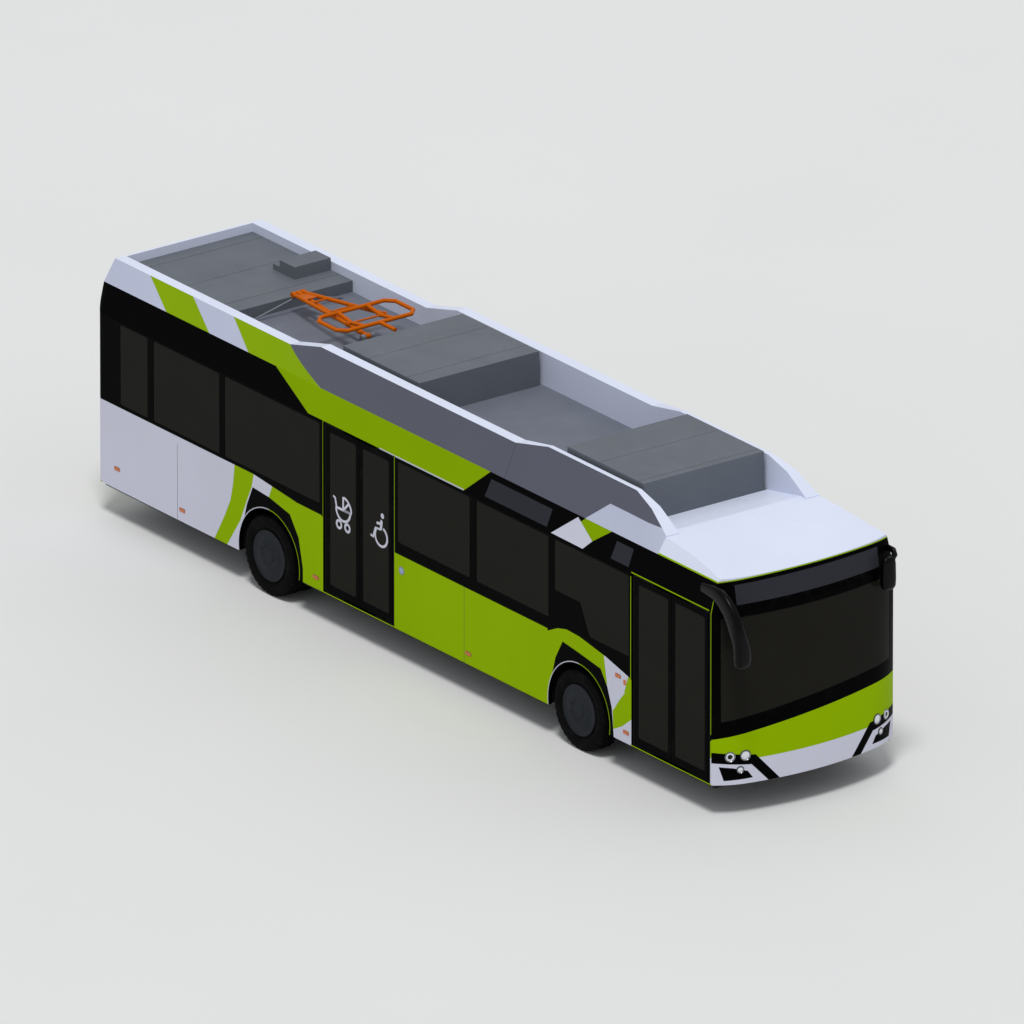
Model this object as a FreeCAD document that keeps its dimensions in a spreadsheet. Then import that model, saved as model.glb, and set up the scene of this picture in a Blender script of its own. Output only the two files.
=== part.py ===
import FreeCAD, Part
import math
import os
import Sketcher
from FreeCAD import Placement, Rotation, Vector

# City bus, 12 m battery electric low-floor type, right-hand doors.
# Millimetres. +X is forward, +Y is the driver's side, +Z is up.
# The origin is on the road, below the middle of the overall box.
# The driving sizes are in the sheet, and every piece is bound to them.

# Side markers: two from the rear face, then three and the turn lamp from the nose; heights from the road.
REAR_MARKERS = ((360, 640), (1620, 530))
NOSE_MARKERS = ((7780, 525), (4870, 520), (1890, 515))
TURN_LAMP = (2040, 1155)

SIZES = [
    # overall form
    ("body_length", 11970, "rear face to the tip of the nose"),
    ("body_width", 2550, "over the side panels"),
    ("wheelbase", 5900, "rear axle to front axle"),
    ("axle_middle", 5770, "midway between the axles, behind the tip of the nose"),
    ("mirror_reach", 190, "mirror head ahead of the nose"),
    ("skirt_height", 388, "lower edge of the skirts above the road"),
    ("lean_height", 2450, "where the sides start to lean in"),
    ("shoulder_height", 2805, "joint of the walls and the roof fairing"),
    ("shoulder_inset", 85, "lean of the wall up to the shoulder"),
    ("wall", 55, "thickness of the side walls"),
    ("end_wall", 60, "thickness of the rear wall"),
    ("roof_sheet", 45, "thickness of the roof"),
    ("floor_height", 400, "step-in floor above the road"),
    ("floor_depth", 60, "thickness of the floor frame"),
    ("tow_half", 600, "towing lugs from the middle"),
    ("tow_inset", 120, "towing lugs from the ends of the floor"),
    ("tow_bore", 20, "radius of the towing bore"),
    ("tow_thickness", 30, "towing lug"),
    # nose
    ("nose_depth", 290, "bulge of the nose at the skirt"),
    ("nose_depth_lean", 235, "bulge of the nose at the lean height"),
    ("nose_depth_top", 130, "bulge of the nose at the shoulder"),
    ("nose_shell", 50, "thickness of the nose panels"),
    ("nose_corner", 360, "width of the rounded corner of the nose"),
    ("mask_door_side", 930, "top of the nose panel at the door side"),
    ("mask_middle", 1100, "top of the nose panel in the middle"),
    ("mask_driver_side", 1185, "top of the nose panel at the driver's side"),
    ("screen_border", 190, "black border below the windscreen"),
    ("screen_side", 90, "pillar width beside the windscreen"),
    ("screen_top", 2390, "top of the windscreen"),
    ("sign_low", 2530, "bottom of the front sign"),
    ("sign_high", 2760, "top of the front sign"),
    ("sign_inset", 275, "front sign inside the sides"),
    ("glass", 8, "thickness of the glass"),
    # side windows and doors; windows 1 to 3 from the rear face, the rest from the tip of the nose
    ("window_low", 1446, "bottom of the side windows"),
    ("window_high", 2428, "top of the side windows"),
    ("window_1_rear", 423, "first window"),
    ("window_1_front", 954, "first window"),
    ("window_2_rear", 1069, "second window"),
    ("window_post", 104, "post between the second and third windows"),
    ("window_share", 0.41081, "second window's share of the glass behind the middle door"),
    ("window_door_gap", 68, "third window behind the middle doorway"),
    ("window_4_rear", 7580, "fourth window, driver's side only"),
    ("window_4_front", 6340, "fourth window, driver's side only"),
    ("window_5_rear", 6220, "fifth window"),
    ("window_5_front", 4847, "fifth window"),
    ("window_6_rear", 4720, "sixth window"),
    ("window_6_front", 3355, "sixth window"),
    ("window_7_rear", 3240, "seventh window"),
    ("window_7_front", 1843, "seventh window"),
    ("window_step_level", 1810, "step in the seventh window, over the front wheel"),
    ("window_step_front", 2766, "front end of that step"),
    ("window_step_foot", 2585, "foot of the slant below that step"),
    ("window_8_rear", 1710, "driver's window"),
    ("window_8_front", 470, "driver's window"),
    ("mid_door_rear", 7640, "middle doorway"),
    ("mid_door_front", 6280, "middle doorway"),
    ("front_door_rear", 1790, "front doorway"),
    ("front_door_front", 310, "front doorway"),
    ("doorway_top", 2470, "underside of the door header"),
    ("leaf_thickness", 40, "door leaf"),
    ("leaf_side_frame", 60, "upright of the door leaf"),
    ("leaf_low_frame", 90, "bottom rail of the door leaf"),
    ("leaf_top_frame", 70, "top rail of the door leaf"),
    ("door_inset", 8, "door leaf behind the side panel"),
    ("post_radius", 20, "door post"),
    ("post_gap", 8, "air between door post, jamb and leaf"),
    ("leaf_gap", 6, "air between two closed leaves"),
    ("arm_thickness", 12, "door arm"),
    ("arm_width", 34, "door arm"),
    ("arm_gap", 5, "air above and below a door arm"),
    ("door_pin_radius", 8, "pin between door arm and leaf"),
    ("door_pin_length", 18, "pin between door arm and leaf"),
    # rear end
    ("rear_corner", 50, "rounding of the rear corners"),
    ("rear_window_low", 1500, "rear window"),
    ("rear_window_high", 2300, "rear window"),
    ("rear_window_inset", 375, "rear window inside the sides"),
    ("hatch_low", 560, "rear hatch"),
    ("hatch_high", 1330, "rear hatch"),
    ("hatch_inset", 375, "rear hatch inside the sides"),
    ("hatch_thickness", 40, "rear hatch"),
    ("hatch_gap", 6, "air round the rear hatch"),
    ("hatch_pin_radius", 6, "hinge rod of the rear hatch"),
    ("hatch_pin_rise", 13, "hinge rod above the top of the hatch"),
    # roof
    ("fairing_wall", 140, "rim of the roof fairing"),
    ("fairing_inner_inset", 385, "inner face of the roof fairing inside the sides"),
    ("rail_rear", 3050, "fairing rim at the rear"),
    ("rail_middle", 3200, "fairing rim in the middle"),
    ("rail_front", 3295, "fairing rim at the front"),
    ("rail_end", 2990, "fairing rim where it meets the dome"),
    ("rail_rear_inset", 245, "outer edge of the rim inside the sides, rear and middle"),
    ("rail_front_inset", 321, "outer edge of the rim inside the sides, at the front"),
    ("rail_rise_start", 3370, "end of the low rim"),
    ("rail_rise_end", 3960, "start of the middle rim"),
    ("rail_step_start", 4310, "end of the middle rim, from the nose"),
    ("rail_step_end", 3780, "start of the high rim, from the nose"),
    ("rail_drop_start", 2120, "end of the high rim, from the nose"),
    ("rail_drop_end", 1410, "rim meets the dome, from the nose"),
    ("rear_rim", 30, "thickness of the rim across the rear"),
    ("deck_front", 1960, "front of the rear roof deck"),
    ("deck_height", 2944, "top of the rear roof deck"),
    ("pack_inset", 433, "battery packs inside the sides"),
    ("pack_gap", 680, "middle battery pack ahead of the pantograph's base pin"),
    ("pack_1_length", 1460, "middle battery pack"),
    ("pack_1_top", 3225, "middle battery pack"),
    ("pack_2_rear", 3580, "front battery pack, from the nose"),
    ("pack_2_front", 2140, "front battery pack, from the nose"),
    ("pack_2_top", 3340, "front battery pack, highest point of the bus"),
    ("dome_foot", 2868, "front dome at the battery pack"),
    ("dome_crest", 2985, "crest of the front dome"),
    ("dome_crest_back", 1520, "crest of the front dome, from the nose"),
    ("dome_lip", 2825, "front edge of the dome"),
    ("panto_knee", 2120, "knee of the folded pantograph"),
    ("panto_knee_height", 3042, "knee of the folded pantograph"),
    ("panto_base", 3450, "base pin of the pantograph"),
    ("panto_base_height", 2935, "base pin of the pantograph"),
    ("panto_head", 3425, "head pin of the pantograph"),
    ("panto_head_height", 3135, "head pin of the pantograph"),
    ("panto_head_half", 540, "half width of the pantograph head"),
    ("panto_head_reach", 262, "head loops ahead of and behind the pin"),
    ("panto_beam_half", 265, "upper arm tubes at the head, from the middle"),
    ("panto_head_rise", 42, "head loops above the head pin"),
    ("panto_head_bend", 92, "cut corners of the head loops"),
    ("panto_beam_step", 60, "head beams inside the upper arm tubes"),
    ("panto_tip", 300, "bar ahead of the head loops"),
    ("panto_tube", 24, "radius of the pantograph tubes"),
    ("panto_arm", 30, "radius of the lower arm"),
    ("panto_pin", 12, "radius of the pantograph pins"),
    ("panto_eye", 31, "radius of the rings round the pins"),
    ("panto_eye_half", 31, "half length of the lower arm's rings"),
    ("panto_side_gap", 5, "air beside the rings"),
    ("panto_ear", 55, "thickness of the ears and the knee rings"),
    ("panto_foot_half", 420, "half width of the foot frame"),
    ("panto_foot_spread", 350, "insulator feet from the middle"),
    ("panto_foot_height", 40, "top of the foot frame above the roof"),
    ("panto_foot_plate", 20, "thickness of the foot frame"),
    ("panto_foot_radius", 42, "insulator feet"),
    ("panto_stay", 10, "radius of the knee rest's stays"),
    ("panto_stay_inset", 585, "feet of the stays inside the sides"),
    ("panto_stay_lean", 70, "feet of the stays behind the knee"),
    # small unit on the rear deck
    ("unit_rear", 1260, "small unit on the rear deck"),
    ("unit_front", 1550, "small unit on the rear deck"),
    ("unit_inner", 370, "small unit, nearer side from the middle"),
    ("unit_outer_inset", 395, "small unit inside the sides"),
    ("unit_rise", 153, "small unit above the deck"),
    ("unit_ledge", 130, "ledge behind the small unit"),
    ("unit_ledge_rise", 70, "ledge above the deck"),
    # lamps and mirrors
    ("lamp_outer_inset", 180, "outer head lamp inside the sides"),
    ("lamp_inner_inset", 350, "inner head lamp inside the sides"),
    ("lamp_height", 725, "head lamps above the road"),
    ("lamp_radius", 52, "head lamps"),
    ("fog_height", 560, "lower front lamp"),
    ("fog_inset", 290, "lower front lamp inside the sides"),
    ("fog_radius", 32, "lower front lamp"),
    ("tail_inset", 190, "tail lamps inside the sides"),
    ("tail_low", 700, "lowest tail lamp"),
    ("tail_step", 165, "from one tail lamp to the next"),
    ("tail_radius", 65, "tail lamps"),
    ("lamp_depth", 40, "depth of the lamps"),
    ("lamp_proud", 2, "lamp lenses in front of the panels"),
    ("marker_proud", 4, "side markers outside the side panels"),
    ("marker_long", 104, "side marker along the bus"),
    ("marker_high", 42, "height of a side marker"),
    ("mirror_arm", 52, "radius of the mirror arms"),
    ("mirror_thick", 110, "mirror head along the bus"),
    ("mirror_wide", 215, "mirror head across the bus"),
    ("mirror_high", 370, "height of the door side mirror head"),
    ("mirror_edge", 70, "rounding of the mirror heads"),
    ("mirror_top", 2270, "top of the door side mirror head"),
    ("mirror_side", 22, "mirror head inside the body width"),
    ("mirror_left_top", 2640, "top of the driver's side mirror head"),
    ("mirror_left_wide", 190, "driver's side mirror head across the bus"),
    ("mirror_left_side", 130, "driver's side mirror head inside the body width"),
    ("mirror_left_reach", 150, "driver's side mirror head ahead of the corner"),
    # inside
    ("aisle_half", 340, "aisle side of the seats, from the middle"),
    ("seat_outer_inset", 95, "seats inside the sides"),
    ("seat_leg", 430, "seat above the low floor"),
    ("box_leg", 160, "seat above a housing"),
    ("pole_radius", 16, "handrails"),
    ("pole_half", 300, "handrails from the middle"),
    ("rail_height", 2250, "long handrails above the road"),
    ("block_front", 1080, "front of the drive block"),
    ("block_rear", 120, "rear of the drive block"),
    ("block_top", 1000, "top of the drive block"),
    # seats and driver's place
    ("seat_gap", 730, "from one bench to the next"),
    ("seat_depth", 430, "cushion of a bench"),
    ("seat_cushion", 55, "thickness of a cushion"),
    ("seat_back", 690, "top of the backrest above the leg"),
    ("seat_lean", 110, "top of the backrest behind the cushion"),
    ("seat_back_thick", 40, "thickness of the backrest at its top"),
    ("seat_foot", 120, "rear of the bench leg"),
    ("seat_foot_long", 100, "bench leg along the bus"),
    ("seat_row_rear", 550, "bench on the drive block"),
    ("seat_row_first", 1350, "first bench ahead of the drive block"),
    ("seat_row_left", 1100, "first bench opposite the middle door, ahead of the rear axle"),
    ("seat_clear", 40, "benches short of a wheel housing"),
    ("seat_housing_rear", -380, "bench on a rear housing, from the axle"),
    ("seat_housing_front", 300, "bench on a rear housing, from the axle"),
    ("seat_door_gap", 260, "bench ahead of the middle door"),
    ("dash_gap", 60, "dashboard behind the nose and inside the wall"),
    ("dash_inner", 150, "door side end of the dashboard, from the middle"),
    ("dash_high", 720, "dashboard above the floor"),
    ("dash_lip", 640, "rear lip of the dashboard"),
    ("dash_under", 540, "underside of the lip"),
    ("dash_knee", 480, "top of the knee space"),
    ("dash_long", 450, "dashboard along the bus"),
    ("dash_box", 330, "lower box of the dashboard"),
    ("wheel_radius", 225, "steering wheel"),
    ("wheel_tube", 17, "radius of the steering wheel rim"),
    ("wheel_height", 690, "steering wheel above the floor"),
    ("wheel_back", 560, "steering wheel behind the front of the dashboard"),
    ("column_radius", 28, "steering column"),
    ("spoke_radius", 14, "steering wheel spokes"),
    ("driver_half", 240, "half width of the driver's seat"),
    ("driver_shift", 170, "driver's seat ahead of the front doorway's rear jamb"),
    ("driver_drop", 60, "driver's seat leg, less than a passenger's"),
    ("partition_high", 1500, "partition behind the driver"),
    ("partition_thick", 28, "partition behind the driver"),
    ("partition_back", 40, "partition behind the doorway's rear jamb"),
    # running gear
    ("tyre_radius", 479, "outer radius of the tyres"),
    ("tyre_width", 275, "tyre"),
    ("tyre_inset", 20, "tyre behind the side panel"),
    ("rim_radius", 292, "seat of the tyre"),
    ("twin_gap", 45, "air between twin tyres"),
    ("tyre_shoulder", 30, "drop of the tyre shoulder"),
    ("tyre_edge", 12, "drop of the tread edge"),
    ("rim_face", 110, "wheel face outboard of the tyre's middle"),
    ("rim_lip", 12, "lip and disc of the rim"),
    ("rim_barrel", 14, "thickness of the rim barrel"),
    ("hub_wall", 50, "wall of the hub"),
    ("spindle_radius", 40, "wheel spindle"),
    ("running_gap", 0.4, "air in bearings and pivots"),
    ("arch_radius", 580, "wheel arch"),
    ("arch_shift", 40, "wheel arch centre ahead of the axle"),
    ("well_half_front", 650, "half length of the front wheel housing"),
    ("well_half_rear", 640, "half length of the rear wheel housing"),
    ("well_inner_front_inset", 715, "front housing wall inside the sides"),
    ("well_inner_rear_inset", 675, "rear housing wall inside the sides"),
    ("well_top", 1150, "top of the wheel housings"),
    ("well_sheet", 12, "sheet of the wheel housings"),
    ("kingpin_inset", 370, "kingpins inside the sides"),
    ("kingpin_radius", 22, "kingpin"),
    ("fist_radius", 42, "axle end round the kingpin"),
    ("fist_half", 80, "half height of the axle end"),
    ("ear_high", 40, "thickness of the knuckle ears"),
    ("web_gap", 6, "knuckle web outside the ears"),
    ("web_thick", 36, "knuckle web"),
    ("steer_arm", 240, "steering arm"),
    ("steer_arm_half", 22, "half width of the steering arm"),
    ("steer_arm_high", 35, "thickness of the steering arm"),
    ("steer_arm_drop", 115, "steering arm below the axle end"),
    ("steer_stub", 1.4, "stub below the kingpin, in kingpin radii"),
    ("tie_pin_radius", 10, "pins of the tie rod"),
    ("tie_pin_long", 40, "pins of the tie rod"),
    ("tie_eye", 24, "radius of the tie rod's eyes"),
    ("tie_bar", 15, "radius of the tie rod"),
    ("spring_share", 0.75, "air springs, as a share of the housing's inner wall"),
    ("spring_swell", 1.6, "air spring radius in beam half thicknesses"),
    ("case_step", 6, "gear case inside the inner tyre"),
    ("case_lap", 5, "gear case over the beam end"),
    ("beam_low", 190, "underside of the axle beams"),
    ("beam_height", 100, "depth of the axle beams"),
    ("beam_half", 50, "half thickness of the axle beams"),
]

doc = FreeCAD.newDocument("city_bus")
sheet = doc.addObject("Spreadsheet::Sheet", "Sizes")
NODES = []


class Size:
    """A length that knows its number and the sheet formula that gives it."""

    def __init__(self, number, formula):
        self.number = float(number)
        self.formula = formula

    def __add__(self, other):
        other = as_size(other)
        return Size(self.number + other.number, "(%s + %s)" % (self.formula, other.formula))

    def __sub__(self, other):
        other = as_size(other)
        return Size(self.number - other.number, "(%s - %s)" % (self.formula, other.formula))

    def __mul__(self, factor):
        factor = as_size(factor)
        return Size(self.number * factor.number, "(%s * %s)" % (self.formula, factor.formula))

    def __truediv__(self, factor):
        factor = as_size(factor)
        return Size(self.number / factor.number, "(%s / %s)" % (self.formula, factor.formula))

    def __neg__(self):
        return Size(-self.number, "(0 - %s)" % self.formula)

    def __rsub__(self, other):
        return as_size(other) - self

    __radd__ = __add__
    __rmul__ = __mul__


def as_size(value):
    """A plain number as a Size."""
    return value if isinstance(value, Size) else Size(value, "%.12g" % value)


class Table:
    """The sheet's cells as Size attributes."""


mm = Table()
for row, (alias, number, meaning) in enumerate(SIZES, 1):
    sheet.set("A%d" % row, alias)
    sheet.set("B%d" % row, "%g" % number)
    sheet.set("C%d" % row, meaning)
    sheet.setAlias("B%d" % row, alias)
    setattr(mm, alias, Size(number, "Sizes." + alias))
doc.recompute()

# Places that several pieces share
HALF = mm.body_width / 2
REAR = -(mm.body_length + mm.mirror_reach) / 2
NOSE = REAR + mm.body_length
CORNER = NOSE - mm.nose_depth
REAR_AXLE = NOSE - mm.axle_middle - mm.wheelbase / 2
FRONT_AXLE = NOSE - mm.axle_middle + mm.wheelbase / 2
SHOULDER_HALF = HALF - mm.shoulder_inset
ROOF_HALF = SHOULDER_HALF - mm.wall
CEILING = mm.shoulder_height - mm.roof_sheet
FLOOR_LOW = mm.floor_height - mm.floor_depth
WALL_START = REAR + mm.end_wall
PLANES = {
    "xy": (Rotation(), Vector(0, 0, 1), "z"),
    "xz": (Rotation(Vector(1, 0, 0), 90), Vector(0, 1, 0), "y"),
    "yz": (Rotation(Vector(0, 1, 0), Vector(0, 0, 1), Vector(1, 0, 0)), Vector(1, 0, 0), "x"),
}
AXES = {
    "x": (Rotation(Vector(0, 1, 0), 90), ("y", "z")),
    "y": (Rotation(Vector(1, 0, 0), -90), ("x", "z")),
    "z": (Rotation(), ("x", "y")),
}


def bind(thing, prop, value):
    """Set a property from a Size, live to the sheet."""
    thing.setExpression(prop, as_size(value).formula)


def box(x, y, z):
    """A block between two values along each axis."""
    thing = doc.addObject("Part::Box", "Block")
    for prop, axis, (low, high) in (("Length", "x", x), ("Width", "y", y), ("Height", "z", z)):
        bind(thing, prop, high - low)
        bind(thing, "Placement.Base." + axis, low)
    return thing


def rod(axis, centre, span, radius):
    """A round bar along an axis; centre is given in the other two, in order."""
    thing = doc.addObject("Part::Cylinder", "Rod")
    turn, others = AXES[axis]
    thing.Placement = Placement(Vector(), turn)
    bind(thing, "Radius", radius)
    bind(thing, "Height", span[1] - span[0])
    bind(thing, "Placement.Base." + axis, span[0])
    for other, value in zip(others, centre):
        bind(thing, "Placement.Base." + other, value)
    return thing


def sketch(plane, points, offset, others=(0, 0)):
    """A closed outline. A third entry in a point is a via point of an arc to the next one."""
    turn, normal, axis = PLANES[plane]
    outline = doc.addObject("Sketcher::SketchObject", "Outline")
    outline.Placement = Placement(Vector(), turn)
    bind(outline, "Placement.Base." + axis, offset)
    rest = [name for name in "xyz" if name != axis]
    for name, value in zip(rest, others):
        bind(outline, "Placement.Base." + name, value)
    corners = [Vector(as_size(point[0]).number, as_size(point[1]).number, 0) for point in points]
    starts = []
    for number, point in enumerate(points):
        start, end = corners[number], corners[(number + 1) % len(points)]
        if len(point) == 3:
            via = Vector(as_size(point[2][0]).number, as_size(point[2][1]).number, 0)
            clockwise = (via - start).cross(end - via).z < 0
            ends = (end, start) if clockwise else (start, end)
            outline.addGeometry(Part.Arc(ends[0], via, ends[1]), False)
            starts.append(2 if clockwise else 1)
        else:
            outline.addGeometry(Part.LineSegment(start, end), False)
            starts.append(1)
    held = []
    for number, point in enumerate(points):
        following = (number + 1) % len(points)
        end = 3 - starts[number]
        held.append(("Coincident", (number, end, following, starts[following]), None))
        held.append(("DistanceX", (-1, 1, number, starts[number]), point[0]))
        held.append(("DistanceY", (-1, 1, number, starts[number]), point[1]))
    for number, point in enumerate(points):
        if len(point) == 3:
            via = Vector(as_size(point[2][0]).number, as_size(point[2][1]).number, 0)
            mark = outline.addGeometry(Part.Point(via), True)
            held.append(("DistanceX", (-1, 1, mark, 1), point[2][0]))
            held.append(("DistanceY", (-1, 1, mark, 1), point[2][1]))
            held.append(("PointOnObject", (mark, 1, number), None))
    rules = []
    for kind, ends, value in held:
        values = ends if value is None else ends + (as_size(value).number,)
        rules.append(Sketcher.Constraint(kind, *values))
    outline.addConstraint(rules)
    for number, (kind, ends, value) in enumerate(held):
        if value is not None and "Sizes" in as_size(value).formula:
            outline.setExpression("Constraints[%d]" % number, as_size(value).formula)
    return outline


def prism(plane, points, span):
    """An outline drawn on a plane and pushed from one value to another."""
    outline = sketch(plane, points, span[0])
    thing = doc.addObject("Part::Extrusion", "Profile")
    thing.Base = outline
    thing.DirMode = "Custom"
    thing.Dir = PLANES[plane][1]
    thing.Solid = True
    bind(thing, "LengthFwd", span[1] - span[0])
    return thing


def loft(outlines):
    """Straight skins through a row of outlines."""
    thing = doc.addObject("Part::Loft", "Shell")
    thing.Sections = outlines
    thing.Solid = True
    thing.Ruled = True
    return thing


def turned(points, centre_x, centre_z):
    """A ring about a crosswise axis. Points are (y, radius)."""
    outline = sketch("yz", points, centre_x, (0, centre_z))
    thing = doc.addObject("Part::Revolution", "Ring")
    thing.Source = outline
    thing.Axis = Vector(0, 1, 0)
    thing.Angle = 360
    thing.Solid = True
    bind(thing, "Base.x", centre_x)
    bind(thing, "Base.z", centre_z)
    return thing


def fuse(*things):
    """One solid from several."""
    if len(things) == 1:
        return things[0]
    thing = doc.addObject("Part::MultiFuse", "Joined")
    thing.Shapes = list(things)
    thing.Refine = True
    return thing


def cut(base, *tools):
    """What is left of a solid when the tools are taken out."""
    thing = doc.addObject("Part::Cut", "Cut")
    thing.Base = base
    thing.Tool = fuse(*tools)
    thing.Refine = True
    return thing


def common(*things):
    """What several solids share."""
    thing = doc.addObject("Part::MultiCommon", "Shared")
    thing.Shapes = list(things)
    return thing


def mirrored(base):
    """The same piece on the other side of the bus."""
    thing = doc.addObject("Part::Mirroring", "Mirrored")
    thing.Source = base
    thing.Normal = Vector(0, 1, 0)
    return thing


def group(*things):
    """Like pieces that don't touch, as one named piece."""
    thing = doc.addObject("Part::Compound", "Group")
    thing.Links = list(things)
    return thing


def node(name, thing):
    """Name a finished piece."""
    thing.Label = name
    NODES.append(thing)
    return thing


def bars(name, runs):
    """Round bars along straight runs with round elbows; a run is (radius, points)."""
    solids = []
    for radius, points in runs:
        radius = as_size(radius).number
        stops = [Vector(*[as_size(value).number for value in point]) for point in points]
        piece = None
        for start, end in zip(stops, stops[1:]):
            run = Part.makeCylinder(radius, (end - start).Length, start, end - start)
            piece = run if piece is None else piece.fuse(run)
        for elbow in stops[1:-1]:
            piece = piece.fuse(Part.makeSphere(radius, elbow))
        solids.append(piece)
    thing = doc.addObject("Part::Feature", name)
    shape = solids[0]
    for solid in solids[1:]:
        shape = shape.fuse(solid)
    merged = shape.removeSplitter()
    thing.Shape = merged if merged.isValid() else shape
    return thing


def from_rear(value):
    """A place given from the rear face."""
    return REAR + value


def from_nose(value):
    """A place given from the tip of the nose."""
    return NOSE - value


def half_less(inset):
    """Half width of what stays this far inside the body sides."""
    return HALF - inset


# Side walls

WINDOWS = {
    "right": (1, 2, 3, 5, 6, 7),
    "left": (1, 2, 3, 4, 5, 6, 7, 8),
}


def window_span(number):
    """Rear and front edge of a side window; the second and third share the room behind the door."""
    if number == 1:
        return from_rear(mm.window_1_rear), from_rear(mm.window_1_front)
    if number in (2, 3):
        start = from_rear(mm.window_2_rear)
        end = from_nose(mm.mid_door_rear) - mm.window_door_gap
        post = start + (end - start - mm.window_post) * mm.window_share
        return (start, post) if number == 2 else (post + mm.window_post, end)
    rear = getattr(mm, "window_%d_rear" % number)
    front = getattr(mm, "window_%d_front" % number)
    return from_nose(rear), from_nose(front)


def wall_section():
    """Cross-section of the right wall, upright and then leaning in to the shoulder."""
    return [
        (-HALF, mm.skirt_height),
        (-HALF, mm.lean_height),
        (-SHOULDER_HALF, mm.shoulder_height),
        (-ROOF_HALF, mm.shoulder_height),
        (-ROOF_HALF, CEILING),
        (-(HALF - mm.wall), mm.lean_height),
        (-(HALF - mm.wall), mm.skirt_height),
    ]


def through():
    """From outside the right wall to inside it, for cuts."""
    return (-(HALF + mm.wall), -(ROOF_HALF - mm.wall))


def window_outline(number, side):
    """One side window; the seventh steps up over the front wheel on the door side."""
    rear, front = window_span(number)
    low, high = mm.window_low, mm.window_high
    if number == 7 and side == "right":
        return [
            (rear, high),
            (rear, mm.window_step_level),
            (from_nose(mm.window_step_front), mm.window_step_level),
            (from_nose(mm.window_step_foot), low),
            (front, low),
            (front, high),
        ]
    return [(rear, low), (front, low), (front, high), (rear, high)]


def wall(side):
    """One side wall with its windows, doorways and wheel arches."""
    shell = prism("yz", wall_section(), (WALL_START, CORNER))
    tools = []
    for number in WINDOWS[side]:
        tools.append(prism("xz", window_outline(number, side), through()))
    if side == "right":
        for door in ("mid_door", "front_door"):
            tools.append(box(doorway(door), through(), (mm.floor_height, mm.doorway_top)))
    for axle in (REAR_AXLE, FRONT_AXLE):
        centre = (axle + mm.arch_shift, mm.tyre_radius)
        tools.append(rod("y", centre, through(), mm.arch_radius))
    piece = cut(shell, *tools)
    return piece if side == "right" else mirrored(piece)


def window_panes(side):
    """The glass of one side, flush in the window cuts."""
    inset = mm.door_inset / 2
    deep = (-(HALF - inset), -(HALF - inset - mm.glass))
    panes = [prism("xz", window_outline(number, side), deep) for number in WINDOWS[side]]
    piece = group(*panes)
    return piece if side == "right" else mirrored(piece)


# Doors: each leaf hangs at its mid-width on a lower and an upper arm of a turning post.

DOORS = {
    "mid_door": (mm.mid_door_rear, mm.mid_door_front),
    "front_door": (mm.front_door_rear, mm.front_door_front),
}
DOOR_MIDDLE = -(HALF - mm.door_inset - mm.leaf_thickness / 2)
LOW_ARM = mm.floor_height + mm.arm_gap
LEAF_LOW = LOW_ARM + mm.arm_thickness + mm.arm_gap
HIGH_ARM = mm.doorway_top - mm.arm_gap * 2 - mm.arm_thickness
LEAF_HIGH = HIGH_ARM - mm.arm_gap
POST_STEP = mm.post_radius + mm.post_gap


def doorway(door):
    """Rear and front jamb of a doorway."""
    rear, front = DOORS[door]
    return from_nose(rear), from_nose(front)


def door_arm(door):
    """Length from the post to the leaf's pivot."""
    rear, front = doorway(door)
    return ((front - rear) / 2 - mm.leaf_gap / 2) / 2


def ordered(first, second):
    """Two places, the lower one first."""
    return (first, second) if first.number < second.number else (second, first)


def door_pair(door):
    """Posts, leaves and glass of one doorway."""
    rear, front = doorway(door)
    arm = door_arm(door)
    for leaf, jamb, way in (("rear", rear, 1), ("front", front, -1)):
        post_x = jamb + POST_STEP * way
        pivot_x = post_x + arm * way
        name = "%s_%s" % (door, leaf)
        node(name + "_post", door_post(post_x, pivot_x))
        frame, glass = door_leaf(post_x, pivot_x, arm, way)
        node(name + "_leaf", frame)
        node(name + "_glass", glass)


def door_post(post_x, pivot_x):
    """A post from sill to header with an arm and pin below and above the leaf."""
    ends = (mm.floor_height + mm.running_gap, mm.doorway_top - mm.running_gap)
    pieces = [rod("z", (post_x, DOOR_MIDDLE), ends, mm.post_radius)]
    half = mm.arm_width / 2
    for low, pin in (
        (LOW_ARM, (LOW_ARM + mm.arm_thickness, LOW_ARM + mm.arm_thickness + mm.door_pin_length)),
        (HIGH_ARM, (HIGH_ARM - mm.door_pin_length, HIGH_ARM)),
    ):
        levels = (low, low + mm.arm_thickness)
        sides = (DOOR_MIDDLE - half, DOOR_MIDDLE + half)
        pieces.append(box(ordered(post_x, pivot_x), sides, levels))
        pieces.append(rod("z", (pivot_x, DOOR_MIDDLE), levels, half))
        pieces.append(rod("z", (pivot_x, DOOR_MIDDLE), pin, mm.door_pin_radius))
    return fuse(*pieces)


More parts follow.
